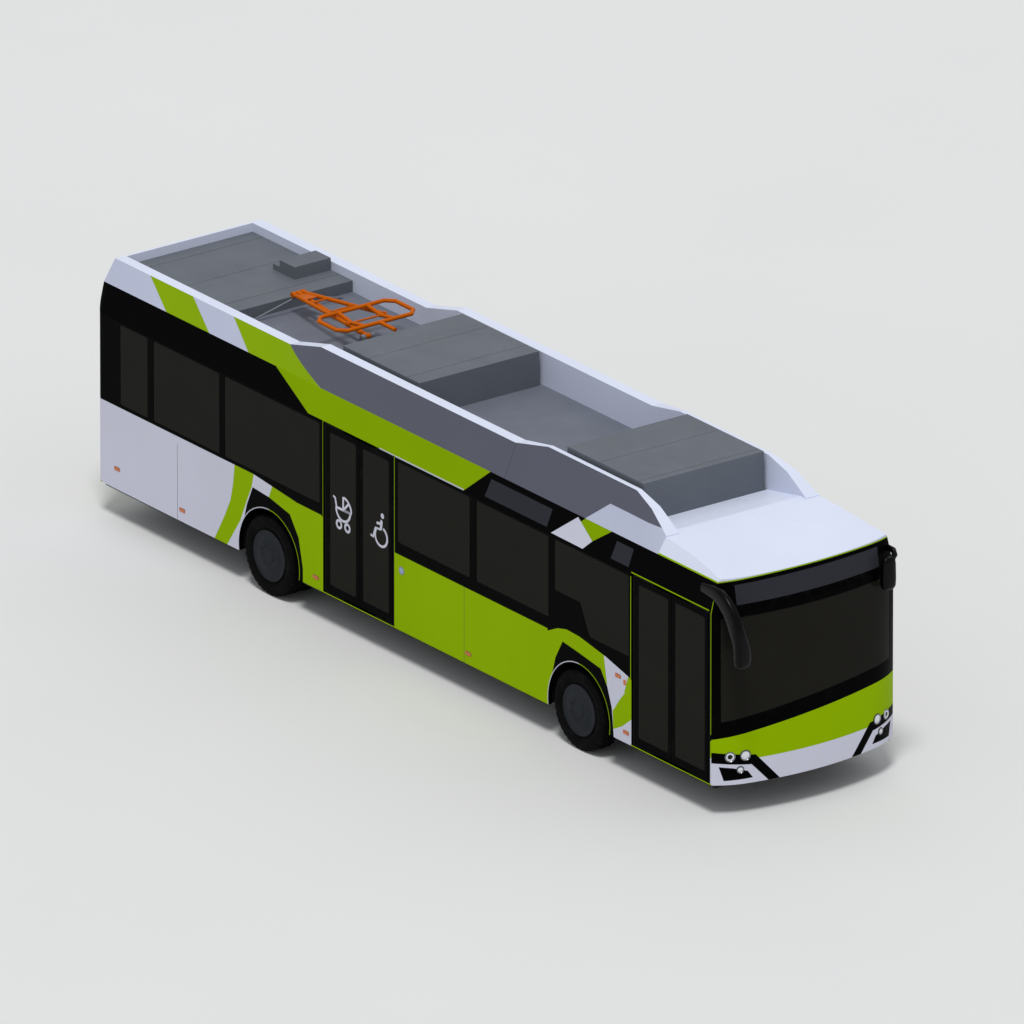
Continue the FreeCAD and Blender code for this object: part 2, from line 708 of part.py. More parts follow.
def door_leaf(post_x, pivot_x, arm, way):
    """A glazed leaf; its ends stay a step away from the post."""
    near = post_x + POST_STEP * way
    far = post_x + (arm * 2 - POST_STEP) * way
    half = mm.leaf_thickness / 2
    sides = (DOOR_MIDDLE - half, DOOR_MIDDLE + half)
    whole = box(ordered(near, far), sides, (LEAF_LOW, LEAF_HIGH))
    opening_x = ordered(near + mm.leaf_side_frame * way, far - mm.leaf_side_frame * way)
    opening_z = (LEAF_LOW + mm.leaf_low_frame, LEAF_HIGH - mm.leaf_top_frame)
    deep = (sides[0] - mm.wall, sides[1] + mm.wall)
    bore = mm.door_pin_radius + mm.running_gap
    deepness = mm.door_pin_length + mm.running_gap
    low_span = (LEAF_LOW - mm.arm_gap, LOW_ARM + mm.arm_thickness + deepness)
    low_hole = rod("z", (pivot_x, DOOR_MIDDLE), low_span, bore)
    high_hole = rod("z", (pivot_x, DOOR_MIDDLE), (HIGH_ARM - deepness, HIGH_ARM), bore)
    frame = cut(whole, box(opening_x, deep, opening_z), low_hole, high_hole)
    inset = mm.door_inset / 2
    glass = box(opening_x, (sides[0] + inset, sides[0] + inset + mm.glass), opening_z)
    return frame, glass


# Floor, roof and ends

def well(axle, half, inner, grown):
    """The space round the wheels of one axle end, right side; grown by the sheet or not."""
    x = (axle - half - grown, axle + half + grown)
    y = (-(HALF - mm.wall), -(inner - grown))
    return box(x, y, (FLOOR_LOW, mm.well_top + grown))


def towing_lug(x, side):
    """A plate below the floor frame with a cross bore, and the bore's cutter."""
    y = mm.tow_half * side
    half = mm.tow_thickness / 2
    radius = mm.tow_bore * 2
    centre = (x, FLOOR_LOW - radius)
    lug = fuse(
        rod("y", centre, (y - half, y + half), radius),
        box((x - radius, x + radius), (y - half, y + half), (FLOOR_LOW - radius, FLOOR_LOW)),
    )
    bore = rod("y", centre, (y - half * 2, y + half * 2), mm.tow_bore)
    return lug, bore


def chassis_floor():
    """The low floor with four wheel housings and a towing lug near each corner."""
    plate_y = (-(HALF - mm.wall), HALF - mm.wall)
    pieces = [box((WALL_START, CORNER), plate_y, (FLOOR_LOW, mm.floor_height))]
    spaces = []
    for axle, half, inner in (
        (REAR_AXLE, mm.well_half_rear, half_less(mm.well_inner_rear_inset)),
        (FRONT_AXLE, mm.well_half_front, half_less(mm.well_inner_front_inset)),
    ):
        shell = well(axle, half, inner, mm.well_sheet)
        space = well(axle, half, inner, 0)
        pieces += [shell, mirrored(shell)]
        spaces += [space, mirrored(space)]
    for x in (WALL_START + mm.tow_inset, CORNER - mm.tow_inset):
        for side in (-1, 1):
            lug, bore = towing_lug(x, side)
            pieces.append(lug)
            spaces.append(bore)
    return cut(fuse(*pieces), *spaces)


def roof():
    """The roof skin between the shoulders."""
    return box((WALL_START, CORNER), (-ROOF_HALF, ROOF_HALF), (CEILING, mm.shoulder_height))


def end_outline():
    """The rear face: upright sides that lean in above."""
    return [
        (-HALF, mm.skirt_height),
        (-HALF, mm.lean_height),
        (-SHOULDER_HALF, mm.shoulder_height),
        (SHOULDER_HALF, mm.shoulder_height),
        (HALF, mm.lean_height),
        (HALF, mm.skirt_height),
    ]


HATCH_PIN_X = REAR + mm.hatch_pin_rise
HATCH_PIN_Z = mm.hatch_high + mm.hatch_pin_rise


def rear_wall():
    """The rear panel with rounded corners, rear window, hatch opening and hinge rod."""
    panel = prism("yz", end_outline(), (REAR, WALL_START))
    round_off = mm.rear_corner
    bend = round_off * (1 - math.sqrt(0.5))
    plan = [
        (REAR, -(HALF - round_off)),
        (REAR, HALF - round_off, (REAR + bend, HALF - bend)),
        (REAR + round_off, HALF),
        (WALL_START, HALF),
        (WALL_START, -HALF),
        (REAR + round_off, -HALF, (REAR + bend, -(HALF - bend))),
    ]
    rounded = common(panel, prism("xy", plan, (mm.skirt_height, mm.shoulder_height)))
    deep = (REAR - mm.end_wall, WALL_START + mm.end_wall)
    edge = half_less(mm.rear_window_inset)
    window = box(deep, (-edge, edge), (mm.rear_window_low, mm.rear_window_high))
    gap = mm.hatch_gap
    sides = (-(half_less(mm.hatch_inset) + gap), half_less(mm.hatch_inset) + gap)
    top = HATCH_PIN_Z + mm.hatch_pin_rise + gap
    hatch = box(deep, sides, (mm.hatch_low - gap, top))
    lamp_holes = tail_rods(deep)
    pin = rod("y", (HATCH_PIN_X, HATCH_PIN_Z), sides, mm.hatch_pin_radius)
    return fuse(cut(rounded, window, hatch, *lamp_holes), pin)


def rear_glass():
    """The rear window pane."""
    inset = mm.door_inset / 2
    deep = (REAR + inset, REAR + inset + mm.glass)
    edge = half_less(mm.rear_window_inset)
    return box(deep, (-edge, edge), (mm.rear_window_low, mm.rear_window_high))


EYE_PLACES = (-0.8, 0, 0.8)


def rear_hatch():
    """The lid with three hinge eyes round the rod at its top."""
    edge = half_less(mm.hatch_inset)
    lid = box((REAR, REAR + mm.hatch_thickness), (-edge, edge), (mm.hatch_low, mm.hatch_high))
    eye_radius = mm.hatch_pin_rise
    half = mm.hatch_thickness
    pieces = [lid]
    bores = []
    for place in EYE_PLACES:
        y = (edge * place - half, edge * place + half)
        pieces.append(rod("y", (HATCH_PIN_X, HATCH_PIN_Z), y, eye_radius))
        pieces.append(box((REAR, HATCH_PIN_X + eye_radius), y, (mm.hatch_high, HATCH_PIN_Z)))
    y = (-edge, edge)
    bores.append(rod("y", (HATCH_PIN_X, HATCH_PIN_Z), y, mm.hatch_pin_radius + mm.running_gap))
    return cut(fuse(*pieces), *bores)


# Nose: three plan outlines at the skirt, the lean and the shoulder

CORNER_SHARE = 0.62
ARC_SHARE = 0.42
ARC_SIDE_SHARE = 0.55
SWELL_SHARE = 0.68


def nose_curve(side, tip):
    """The curved front edge in plan: a corner arc, a wide bow, a corner arc."""
    corner = mm.nose_corner
    arc_x = CORNER + tip * ARC_SHARE
    end_x = CORNER + tip * CORNER_SHARE
    arc_y = side - corner * ARC_SIDE_SHARE
    return [
        (CORNER, -side, (arc_x, -arc_y)),
        (end_x, -(side - corner), (CORNER + tip, 0)),
        (end_x, side - corner, (arc_x, arc_y)),
        (CORNER, side),
    ]


def nose_plan(half, depth, grow, level):
    """One plan outline of the nose; grow moves it inward for the inner face."""
    side = half - grow
    tip = depth - grow
    return sketch("xy", nose_curve(side, tip), level)


def nose_body(grow):
    """The nose as a closed form, moved inward by grow."""
    return loft([
        nose_plan(HALF, mm.nose_depth, grow, mm.skirt_height),
        nose_plan(HALF, mm.nose_depth_lean, grow, mm.lean_height),
        nose_plan(SHOULDER_HALF, mm.nose_depth_top, grow, mm.shoulder_height),
    ])


def nose_levels(rise):
    """The sweeping lower edge of the glass area, raised by rise."""
    far = HALF + mm.wall
    return [
        (-far, mm.mask_door_side + rise, (0, mm.mask_middle + rise)),
        (far, mm.mask_driver_side + rise),
    ]


def nose_parts():
    """Lower nose panel, black front frame, and the two front panes."""
    shell = cut(nose_body(0), nose_body(mm.nose_shell))
    deep = (CORNER - mm.nose_shell, NOSE + mm.nose_shell)
    far = HALF + mm.wall
    below = prism("yz", nose_levels(0) + [(far, 0), (-far, 0)], deep)
    mask = common(shell, below)
    screen_half = HALF - mm.screen_side
    rise = mm.screen_border
    screen = common(
        prism("yz", nose_levels(rise) + [(far, mm.screen_top), (-far, mm.screen_top)], deep),
        box(deep, (-screen_half, screen_half), (mm.skirt_height, mm.screen_top)),
    )
    sign = box(deep, (-half_less(mm.sign_inset), half_less(mm.sign_inset)), (mm.sign_low, mm.sign_high))
    frame = cut(shell, below, screen, sign)
    inset = mm.door_inset / 2
    skin = cut(nose_body(inset), nose_body(inset + mm.glass))
    panes = common(skin, fuse(screen, sign))
    return cut(mask, *lamp_rods(0)), frame, panes


# Roof equipment

LEAN_SLOPE = (SHOULDER_HALF - half_less(mm.rail_rear_inset)) / (mm.rail_rear - mm.shoulder_height)


def fairing_section(place, rail_half, rail, rim):
    """Cross-section of the right roof fairing at one station."""
    inner = rail_half - rim
    points = [
        (-SHOULDER_HALF, mm.shoulder_height),
        (-rail_half, rail),
        (-inner, rail),
        (-inner, mm.shoulder_height),
    ]
    return sketch("yz", points, place)


def roof_fairing():
    """Both side fairings, stepping up to the front, and the low rim across the rear."""
    rim_front = half_less(mm.rail_front_inset) - half_less(mm.fairing_inner_inset)
    end_half = SHOULDER_HALF - (mm.rail_end - mm.shoulder_height) * LEAN_SLOPE
    middle_half = (half_less(mm.rail_front_inset) + end_half) / 2
    rows = [
        (REAR, half_less(mm.rail_rear_inset), mm.rail_rear, mm.fairing_wall),
        (from_rear(mm.rail_rise_start), half_less(mm.rail_rear_inset), mm.rail_rear, mm.fairing_wall),
        (from_rear(mm.rail_rise_end), half_less(mm.rail_rear_inset), mm.rail_middle, mm.fairing_wall),
        (from_nose(mm.rail_step_start), half_less(mm.rail_rear_inset), mm.rail_middle, mm.fairing_wall),
        (from_nose(mm.rail_step_end), half_less(mm.rail_front_inset), mm.rail_front, rim_front),
        (from_nose(mm.rail_drop_start), half_less(mm.rail_front_inset), mm.rail_front, rim_front),
        (
            from_nose((mm.rail_drop_start + mm.rail_drop_end) / 2),
            middle_half,
            mm.rail_end + (mm.rail_front - mm.rail_end) * SWELL_SHARE,
            middle_half - half_less(mm.fairing_inner_inset),
        ),
        (from_nose(mm.rail_drop_end), end_half, mm.rail_end, end_half - half_less(mm.fairing_inner_inset)),
    ]
    side = loft([fairing_section(*row) for row in rows])
    inner = half_less(mm.rail_rear_inset) - mm.fairing_wall
    rim = box((REAR, REAR + mm.rear_rim), (-inner, inner), (mm.shoulder_height, mm.rail_rear))
    return fuse(side, mirrored(side), rim)


def front_dome():
    """The white cap over the windscreen, between the fairings and the nose."""
    foot = from_nose(mm.pack_2_front)
    crest = from_nose(mm.dome_crest_back)
    tip = CORNER + mm.nose_depth_top
    middle = (crest + tip) / 2
    swell = mm.dome_lip + (mm.dome_crest - mm.dome_lip) * SWELL_SHARE
    side = prism("xz", [
        (foot, mm.shoulder_height),
        (foot, mm.dome_foot),
        (crest, mm.dome_crest, (middle, swell)),
        (tip, mm.dome_lip),
        (tip, mm.shoulder_height),
    ], (-HALF, HALF))
    rise = mm.rail_front - mm.shoulder_height
    narrow = SHOULDER_HALF - rise * LEAN_SLOPE
    across = prism("yz", [
        (-SHOULDER_HALF, mm.shoulder_height),
        (SHOULDER_HALF, mm.shoulder_height),
        (narrow, mm.rail_front),
        (-narrow, mm.rail_front),
    ], (foot, tip))
    rear_edge = [(foot, SHOULDER_HALF), (foot, -SHOULDER_HALF)]
    outline = nose_curve(SHOULDER_HALF, mm.nose_depth_top) + rear_edge
    plan = prism("xy", outline, (mm.shoulder_height, mm.rail_front))
    rails = []
    for way in (-1, 1):
        beside = ordered(half_less(mm.fairing_inner_inset) * way, HALF * way)
        rails.append(box((REAR, from_nose(mm.rail_drop_end)), beside, (mm.roof_sheet, mm.rail_front)))
    return cut(common(side, across, plan), *rails)


def battery_packs():
    """The two battery packs on the roof."""
    sides = (-half_less(mm.pack_inset), half_less(mm.pack_inset))
    packs = []
    first = from_rear(mm.panto_base + mm.pack_gap)
    for rear, front, top in (
        (first, first + mm.pack_1_length, mm.pack_1_top),
        (from_nose(mm.pack_2_rear), from_nose(mm.pack_2_front), mm.pack_2_top),
    ):
        packs.append(box((rear, front), sides, (mm.shoulder_height, top)))
    return group(*packs)


def rear_roof_unit():
    """The flat rear deck with a small stepped unit on it."""
    inner = half_less(mm.rail_rear_inset) - mm.fairing_wall
    deck = box(
        (REAR + mm.rear_rim, from_rear(mm.deck_front)),
        (-inner, inner),
        (mm.shoulder_height, mm.deck_height),
    )
    sides = (mm.unit_inner, half_less(mm.unit_outer_inset))
    rear = from_rear(mm.unit_rear)
    unit = box((rear, from_rear(mm.unit_front)), sides, (mm.deck_height, mm.deck_height + mm.unit_rise))
    ledge = box((rear - mm.unit_ledge, rear), sides, (mm.deck_height, mm.deck_height + mm.unit_ledge_rise))
    return fuse(deck, unit, ledge)


# Running gear

TYRE_OUT = HALF - mm.tyre_inset
TYRE_MIDDLE = TYRE_OUT - mm.tyre_width / 2
TWIN_STEP = mm.tyre_width + mm.twin_gap
BEAD_SHARE = 0.8
SHOULDER_SHARE = 0.96
EDGE_SHARE = 0.86
TREAD_SHARE = 0.7


def tyre(axle, middle):
    """One right-hand tyre with bulged walls and rounded shoulders."""
    half = mm.tyre_width / 2
    bead = mm.rim_radius + mm.running_gap
    wall_r = (mm.rim_radius + mm.tyre_radius) / 2
    shoulder = mm.tyre_radius - mm.tyre_shoulder
    edge = mm.tyre_radius - mm.tyre_edge
    right = [
        (half * BEAD_SHARE, bead),
        (half, wall_r),
        (half * SHOULDER_SHARE, shoulder),
        (half * EDGE_SHARE, edge),
        (half * TREAD_SHARE, mm.tyre_radius),
    ]
    outline = [(-middle - y, radius) for y, radius in right]
    outline += [(-middle + y, radius) for y, radius in reversed(right)]
    return turned(outline, axle, mm.tyre_radius)


def rim(axle, reach):
    """A right-hand wheel rim with hub and flat cap; reach is how far the barrel goes inboard."""
    lip = mm.rim_lip
    bore = mm.spindle_radius + mm.running_gap
    hub = mm.spindle_radius + mm.hub_wall
    outer = -(TYRE_MIDDLE + mm.rim_face)
    inner = -(TYRE_MIDDLE - reach)
    middle = mm.rim_radius / 2
    return turned([
        (inner, mm.rim_radius),
        (outer, mm.rim_radius),
        (outer, mm.rim_radius - lip),
        (outer + lip, mm.rim_radius - lip * 2),
        (outer + lip, middle),
        (outer - lip / 2, middle - lip),
        (outer - lip / 2, 0),
        (outer + lip * 2, 0),
        (outer + lip * 2, bore),
        (inner, bore),
        (inner, hub),
        (outer + lip * 4, hub),
        (outer + lip * 2, hub + lip * 2),
        (outer + lip * 2, mm.rim_radius - mm.rim_barrel * 2),
        (outer + lip * 4, mm.rim_radius - mm.rim_barrel),
        (inner, mm.rim_radius - mm.rim_barrel),
    ], axle, mm.tyre_radius)


SPINDLE_END = TYRE_MIDDLE + mm.rim_face - mm.rim_lip * 2 - mm.running_gap


def lamp_rods(extra):
    """The head lamp cylinders on both sides."""
    rods = []
    deep = (CORNER - mm.nose_shell, NOSE + mm.nose_shell)
    for side in (-1, 1):
        for half, height, radius in (
            (half_less(mm.lamp_outer_inset), mm.lamp_height, mm.lamp_radius),
            (half_less(mm.lamp_inner_inset), mm.lamp_height, mm.lamp_radius),
            (half_less(mm.fog_inset), mm.fog_height, mm.fog_radius),
        ):
            rods.append(rod("x", (half * side, height), deep, radius + extra))
    return rods


def tail_rods(span):
    """The tail lamp cylinders on both sides."""
    rods = []
    for side in (-1, 1):
        for number in range(3):
            height = mm.tail_low + mm.tail_step * number
            rods.append(rod("x", (half_less(mm.tail_inset) * side, height), span, mm.tail_radius))
    return rods


def side_markers():
    """The lenses along both sides, seated on the panels."""
    half_long, half_high = mm.marker_long / 2, mm.marker_high / 2
    lenses = []
    places = [(from_rear(as_size(place)), level) for place, level in REAR_MARKERS]
    places += [(from_nose(as_size(place)), level) for place, level in NOSE_MARKERS + (TURN_LAMP,)]
    for x, level in places:
        z = as_size(level)
        lens = box(
            (x - half_long, x + half_long),
            (HALF, HALF + mm.marker_proud),
            (z - half_high, z + half_high),
        )
        lenses += [lens, mirrored(lens)]
    return lenses


def lamps():
    """Head lamps that follow the nose, round tail lamps, and side markers."""
    skin = cut(nose_body(-mm.lamp_proud), nose_body(mm.lamp_depth))
    lenses = common(skin, fuse(*lamp_rods(0)))
    tails = tail_rods((REAR + mm.lamp_proud, REAR + mm.lamp_depth))
    return group(lenses, *tails, *side_markers())


ARM_ROOT_SHARE = 0.64


def mirror_head(rear, inner, outer, low, high):
    """A mirror housing with rounded corners, seen from the front."""
    edge = mm.mirror_edge
    bend = edge * (1 - math.sqrt(0.5))
    near, far = ordered(inner, outer)
    outline = [
        (near + edge, low),
        (far - edge, low, (far - bend, low + bend)),
        (far, low + edge),
        (far, high - edge, (far - bend, high - bend)),
        (far - edge, high),
        (near + edge, high, (near + bend, high - bend)),
        (near, high - edge),
        (near, low + edge, (near + bend, low + bend)),
    ]
    return prism("yz", outline, (rear, rear + mm.mirror_thick))


def mirrors():
    """Both mirrors on their curved arms."""
    inside = mm.mirror_arm + mm.mirror_side
    tip = NOSE + mm.mirror_reach - mm.mirror_thick
    centre = HALF - mm.mirror_side - mm.mirror_wide / 2
    top = mm.mirror_top
    root = mm.lean_height + (mm.shoulder_height - mm.lean_height) * ARM_ROOT_SHARE
    reach = tip - CORNER
    right = bars("mirror_arm_right", [(mm.mirror_arm, [
        (CORNER - reach * 0.75, -(HALF - inside), root),
        (CORNER + reach * 0.15, -(HALF - inside), root - mm.mirror_arm * 0.3),
        (CORNER + reach * 0.62, -(HALF - inside), root - mm.mirror_arm * 1.6),
        (CORNER + reach * 0.93, -(HALF - inside * 1.15), root - mm.mirror_arm * 4.2),
        (tip + mm.mirror_thick / 2, -centre, top - mm.mirror_edge),
    ])])
    head = mirror_head(tip, -(centre - mm.mirror_wide / 2), -(centre + mm.mirror_wide / 2),
                       top - mm.mirror_high, top)
    far = HALF - mm.mirror_left_side
    near = far - mm.mirror_left_wide
    left_rear = CORNER + mm.mirror_left_reach
    left = bars("mirror_arm_left", [(mm.mirror_arm * 0.7, [
        (CORNER - mm.mirror_left_reach / 2, HALF - inside, root),
        (CORNER + mm.mirror_left_reach * 0.8, HALF - inside, root),
        (left_rear + mm.mirror_thick / 2, (near + far) / 2, mm.mirror_left_top - mm.mirror_edge),
    ])])
    other = mirror_head(left_rear, near, far, mm.mirror_left_top - mm.mirror_high, mm.mirror_left_top)
    walls = prism("yz", end_outline(), (WALL_START, CORNER))
    return group(cut(fuse(right, head), walls, nose_body(0)), cut(fuse(left, other), walls, nose_body(0)))


# Pantograph

KNEE = (from_rear(mm.panto_knee), mm.panto_knee_height)
BASE_PIN = (from_rear(mm.panto_base), mm.panto_base_height)
HEAD_PIN = (from_rear(mm.panto_head), mm.panto_head_height)
EYE = mm.panto_eye
EYE_HALF = mm.panto_eye_half
EAR = (EYE_HALF + mm.panto_side_gap, EYE_HALF + mm.panto_side_gap + mm.panto_ear)


def eye(centre, span, radius):
    """A ring or pin along the width of the bus."""
    return rod("y", centre, span, radius)


def panto_base():
    """Two ears on a foot frame, insulator feet, and the rest for the knee."""
    x, z = BASE_PIN
    bore = mm.panto_pin + mm.running_gap
    half = mm.panto_foot_radius
    foot = mm.shoulder_height + mm.panto_foot_height
    plate = foot - mm.panto_foot_plate
    pieces = []
    for side in (-1, 1):
        span = ordered(EAR[0] * side, EAR[1] * side)
        pieces.append(eye(BASE_PIN, span, EYE))
        pieces.append(box((x - EYE, x + EYE), span, (plate, z)))
        pieces.append(rod("z", (x, mm.panto_foot_spread * side), (mm.shoulder_height, foot), half))
    pieces.append(box((x - half, x + half), (-mm.panto_foot_half, mm.panto_foot_half), (plate, foot)))
    base = cut(fuse(*pieces), eye(BASE_PIN, (-EAR[1], EAR[1]), bore))
    stay = mm.panto_stay
    rest_x = KNEE[0]
    rest_z = KNEE[1] - EYE - mm.running_gap - stay
    runs = [(stay, [(rest_x, -EYE_HALF, rest_z), (rest_x, EYE_HALF, rest_z)])]
    for side in (-1, 1):
        foot_y = half_less(mm.panto_stay_inset) * side
        runs.append((stay, [
            (rest_x, EYE_HALF * side, rest_z),
            (rest_x - mm.panto_stay_lean, foot_y, mm.shoulder_height),
        ]))
    rest = bars("panto_rest", runs)
    deck = box((REAR, CORNER), (-HALF, HALF), (CEILING, mm.shoulder_height))
    return group(base, cut(rest, deck, rear_roof_unit()))


def panto_lower_arm():
    """A single tube from the base pin back to the knee, with both pins."""
    tube = bars("panto_lower_tube", [(mm.panto_arm, [
        (BASE_PIN[0], 0, BASE_PIN[1]),
        (KNEE[0], 0, KNEE[1]),
    ])])
    pieces = [tube]
    for centre in (BASE_PIN, KNEE):
        pieces.append(eye(centre, (-EYE_HALF, EYE_HALF), EYE))
        pieces.append(eye(centre, (-EAR[1], EAR[1]), mm.panto_pin))
    return fuse(*pieces)


TIE_SHARES = (0.3, 0.62)
TIE_THIN = 0.5


def panto_upper_arm():
    """Two tubes that spread from the knee to the head, tied by cross tubes."""
    knee_y = (EAR[0] + EAR[1]) / 2
    head_y = mm.panto_beam_half
    side_gap = mm.panto_side_gap
    runs = []
    for side in (-1, 1):
        runs.append((mm.panto_tube, [
            (KNEE[0], knee_y * side, KNEE[1]),
            (HEAD_PIN[0], head_y * side, HEAD_PIN[1]),
        ]))
    for share in TIE_SHARES:
        x = KNEE[0] + (HEAD_PIN[0] - KNEE[0]) * share
        z = KNEE[1] + (HEAD_PIN[1] - KNEE[1]) * share
        y = knee_y + (head_y - knee_y) * share
        runs.append((mm.panto_tube * TIE_THIN, [(x, -y, z), (x, y, z)]))
    pieces = [bars("panto_upper_tubes", runs)]
    for side in (-1, 1):
        pieces.append(eye(KNEE, ordered(EAR[0] * side, EAR[1] * side), EYE))
        ends = ordered((head_y - mm.panto_pin) * side, (head_y + mm.panto_pin) * side)
        pieces.append(eye(HEAD_PIN, ends, EYE))
    bore = mm.panto_pin + mm.running_gap
    far = head_y + EYE
    tools = [
        eye(KNEE, (-far, far), bore),
        eye(HEAD_PIN, (-far, far), bore),
        eye(KNEE, (-EAR[0], EAR[0]), EYE + side_gap),
    ]
    return cut(fuse(*pieces), *tools)


def panto_head():
    """The collector head: two rounded loops on a pin, with a middle frame."""
    x, z = HEAD_PIN
    reach = mm.panto_head_reach
    half = mm.panto_head_half
    tube = mm.panto_tube
    bend = mm.panto_head_bend
    top = z + mm.panto_head_rise
    ahead, behind = x + reach, x - reach
    inner = mm.panto_beam_half - mm.panto_beam_step
    flat = half - bend
    loop = [
        (behind, 0, top),
        (behind, flat, top),
        (behind + bend, half, top),
        (ahead - bend, half, top),
        (ahead, flat, top),
        (ahead, -flat, top),
        (ahead - bend, -half, top),
        (behind + bend, -half, top),
        (behind, -flat, top),
        (behind, 0, top),
    ]
    runs = [(tube, loop)]
    for side in (-1, 1):
        runs.append((tube, [
            (behind, inner * side, top),
            (x, inner * side, z),
            (ahead, inner * side, top),
        ]))
    end = mm.panto_beam_half + mm.panto_pin * 2
    runs.append((mm.panto_pin, [(x, -end, z), (x, end, z)]))
    runs.append((tube, [(ahead, 0, top), (ahead + mm.panto_tip, 0, top)]))
    return bars("panto_head_tubes", runs)


# Inside

def seat(x, sides, base, leg):
    """A bench seat facing forward on a leg."""
    low = base + leg
    high = low + mm.seat_cushion
    top = low + mm.seat_back
    foot = (x + mm.seat_foot, x + mm.seat_foot + mm.seat_foot_long)
    back = mm.seat_back_thick
    return prism("xz", [
        (foot[0], base),
        (foot[1], base),
        (foot[1], low),
        (x + mm.seat_depth, low),
        (x + mm.seat_depth, high),
        (x, high),
        (x - mm.seat_lean + back, top),
        (x - mm.seat_lean, top),
        (x - back, low),
        (foot[0], low),
    ], sides)


def rows(start, end):
    """Places of as many benches as the room between start and end holds."""
    room = as_size(end - start - mm.seat_clear - mm.seat_depth).number
    count = int(room // mm.seat_gap.number) + 1
    return [start + mm.seat_gap * number for number in range(count)]


def seats():
    """Passenger benches on the low floor, the rear housings and the drive block."""
    low = mm.floor_height
    box_top = mm.well_top + mm.well_sheet
    both = (-1, 1)
    rear_housing = REAR_AXLE - mm.well_half_rear
    front_housing = FRONT_AXLE - mm.well_half_front
    places = [(from_rear(mm.seat_row_rear), mm.block_top, mm.box_leg, both)]
    for x in rows(from_rear(mm.seat_row_first), rear_housing):
        places.append((x, low, mm.seat_leg, both))
    for step in (mm.seat_housing_rear, mm.seat_housing_front):
        places.append((REAR_AXLE + step, box_top, mm.box_leg, both))
    for x in rows(REAR_AXLE + mm.seat_row_left, front_housing):
        places.append((x, low, mm.seat_leg, (1,)))
    for x in rows(from_nose(mm.mid_door_front) + mm.seat_door_gap, front_housing):
        places.append((x, low, mm.seat_leg, (-1,)))
    benches = []
    outer = half_less(mm.seat_outer_inset)
    for x, base, leg, ways in places:
        for way in ways:
            benches.append(seat(x, ordered(mm.aisle_half * way, outer * way), base, leg))
    return group(*benches)


# Upright poles, measured from the rear face and from the nose.
REAR_POLES = (1200, 2480)
NOSE_POLES = (7740, 6180, 4790, 3550, 1990)


def handrails():
    """Upright poles on both sides of the aisle joined by long rails."""
    stations = [from_rear(as_size(place)) for place in REAR_POLES]
    stations += [from_nose(as_size(place)) for place in NOSE_POLES]
    sides = []
    for way in (-1, 1):
        y = mm.pole_half * way
        pieces = [rod("z", (x, y), (mm.floor_height, CEILING), mm.pole_radius) for x in stations]
        pieces.append(rod("x", (y, mm.rail_height), (stations[0], stations[-1]), mm.pole_radius))
        sides.append(fuse(*pieces))
    return group(*sides)


WHEEL_TILT = -50


def driver_place():
    """Dashboard, steering wheel on its column, driver's seat and the partition behind."""
    front = CORNER - mm.dash_gap
    low = mm.floor_height
    inner, outer = mm.dash_inner, HALF - mm.wall - mm.dash_gap
    box_rear = front - mm.dash_box
    dash = prism("xz", [
        (front, low),
        (front, low + mm.dash_high),
        (front - (mm.dash_box + mm.dash_long) / 2, low + mm.dash_lip),
        (front - mm.dash_long, low + mm.dash_under),
        (box_rear, low + mm.dash_knee),
        (box_rear, low),
    ], (inner, outer))
    y = (inner + outer) / 2
    hub = (front - mm.wheel_back, y, low + mm.wheel_height)
    column = bars("steering_column", [(mm.column_radius, [
        (box_rear, y, low + mm.dash_knee + mm.column_radius),
        hub,
    ])])
    wheel = doc.addObject("Part::Torus", "SteeringWheel")
    bind(wheel, "Radius1", mm.wheel_radius)
    bind(wheel, "Radius2", mm.wheel_tube)
    wheel.Placement = Placement(Vector(), Rotation(Vector(0, 1, 0), WHEEL_TILT))
    for axis, value in zip("xyz", hub):
        bind(wheel, "Placement.Base." + axis, value)
    spokes = bars("steering_spokes", [(mm.spoke_radius, [
        (hub[0], y - mm.wheel_radius, hub[2]),
        (hub[0], y + mm.wheel_radius, hub[2]),
    ])])
    x = from_nose(mm.front_door_rear)
    places = (y - mm.driver_half, y + mm.driver_half)
    chair = seat(x + mm.driver_shift, places, low, mm.seat_leg - mm.driver_drop)
    rear = x - mm.partition_back
    screen = box((rear, rear + mm.partition_thick), (inner, HALF - mm.wall), (low, low + mm.partition_high))
    return group(fuse(dash, column, wheel, spokes), chair, screen)


def drive_block():
    """Inverter and battery block behind the last row, one plain block."""
    ends = (from_rear(mm.block_rear), from_rear(mm.block_front))
    outer = half_less(mm.seat_outer_inset)
    return box(ends, (-outer, outer), (mm.floor_height, mm.block_top))


FIST = (mm.tyre_radius - mm.fist_half, mm.tyre_radius + mm.fist_half)
STEER_PIN = FIST[0] - mm.steer_arm_drop
NECK_SHARE = 0.6
THROAT_SHARE = 0.3


def air_springs(axle, inner, low):
    """The two air springs from an axle up to the floor frame."""
    springs = []
    for side in (-1, 1):
        centre = (axle, inner * mm.spring_share * side)
        springs.append(rod("z", centre, (low, FLOOR_LOW), mm.beam_half * mm.spring_swell))
    return springs


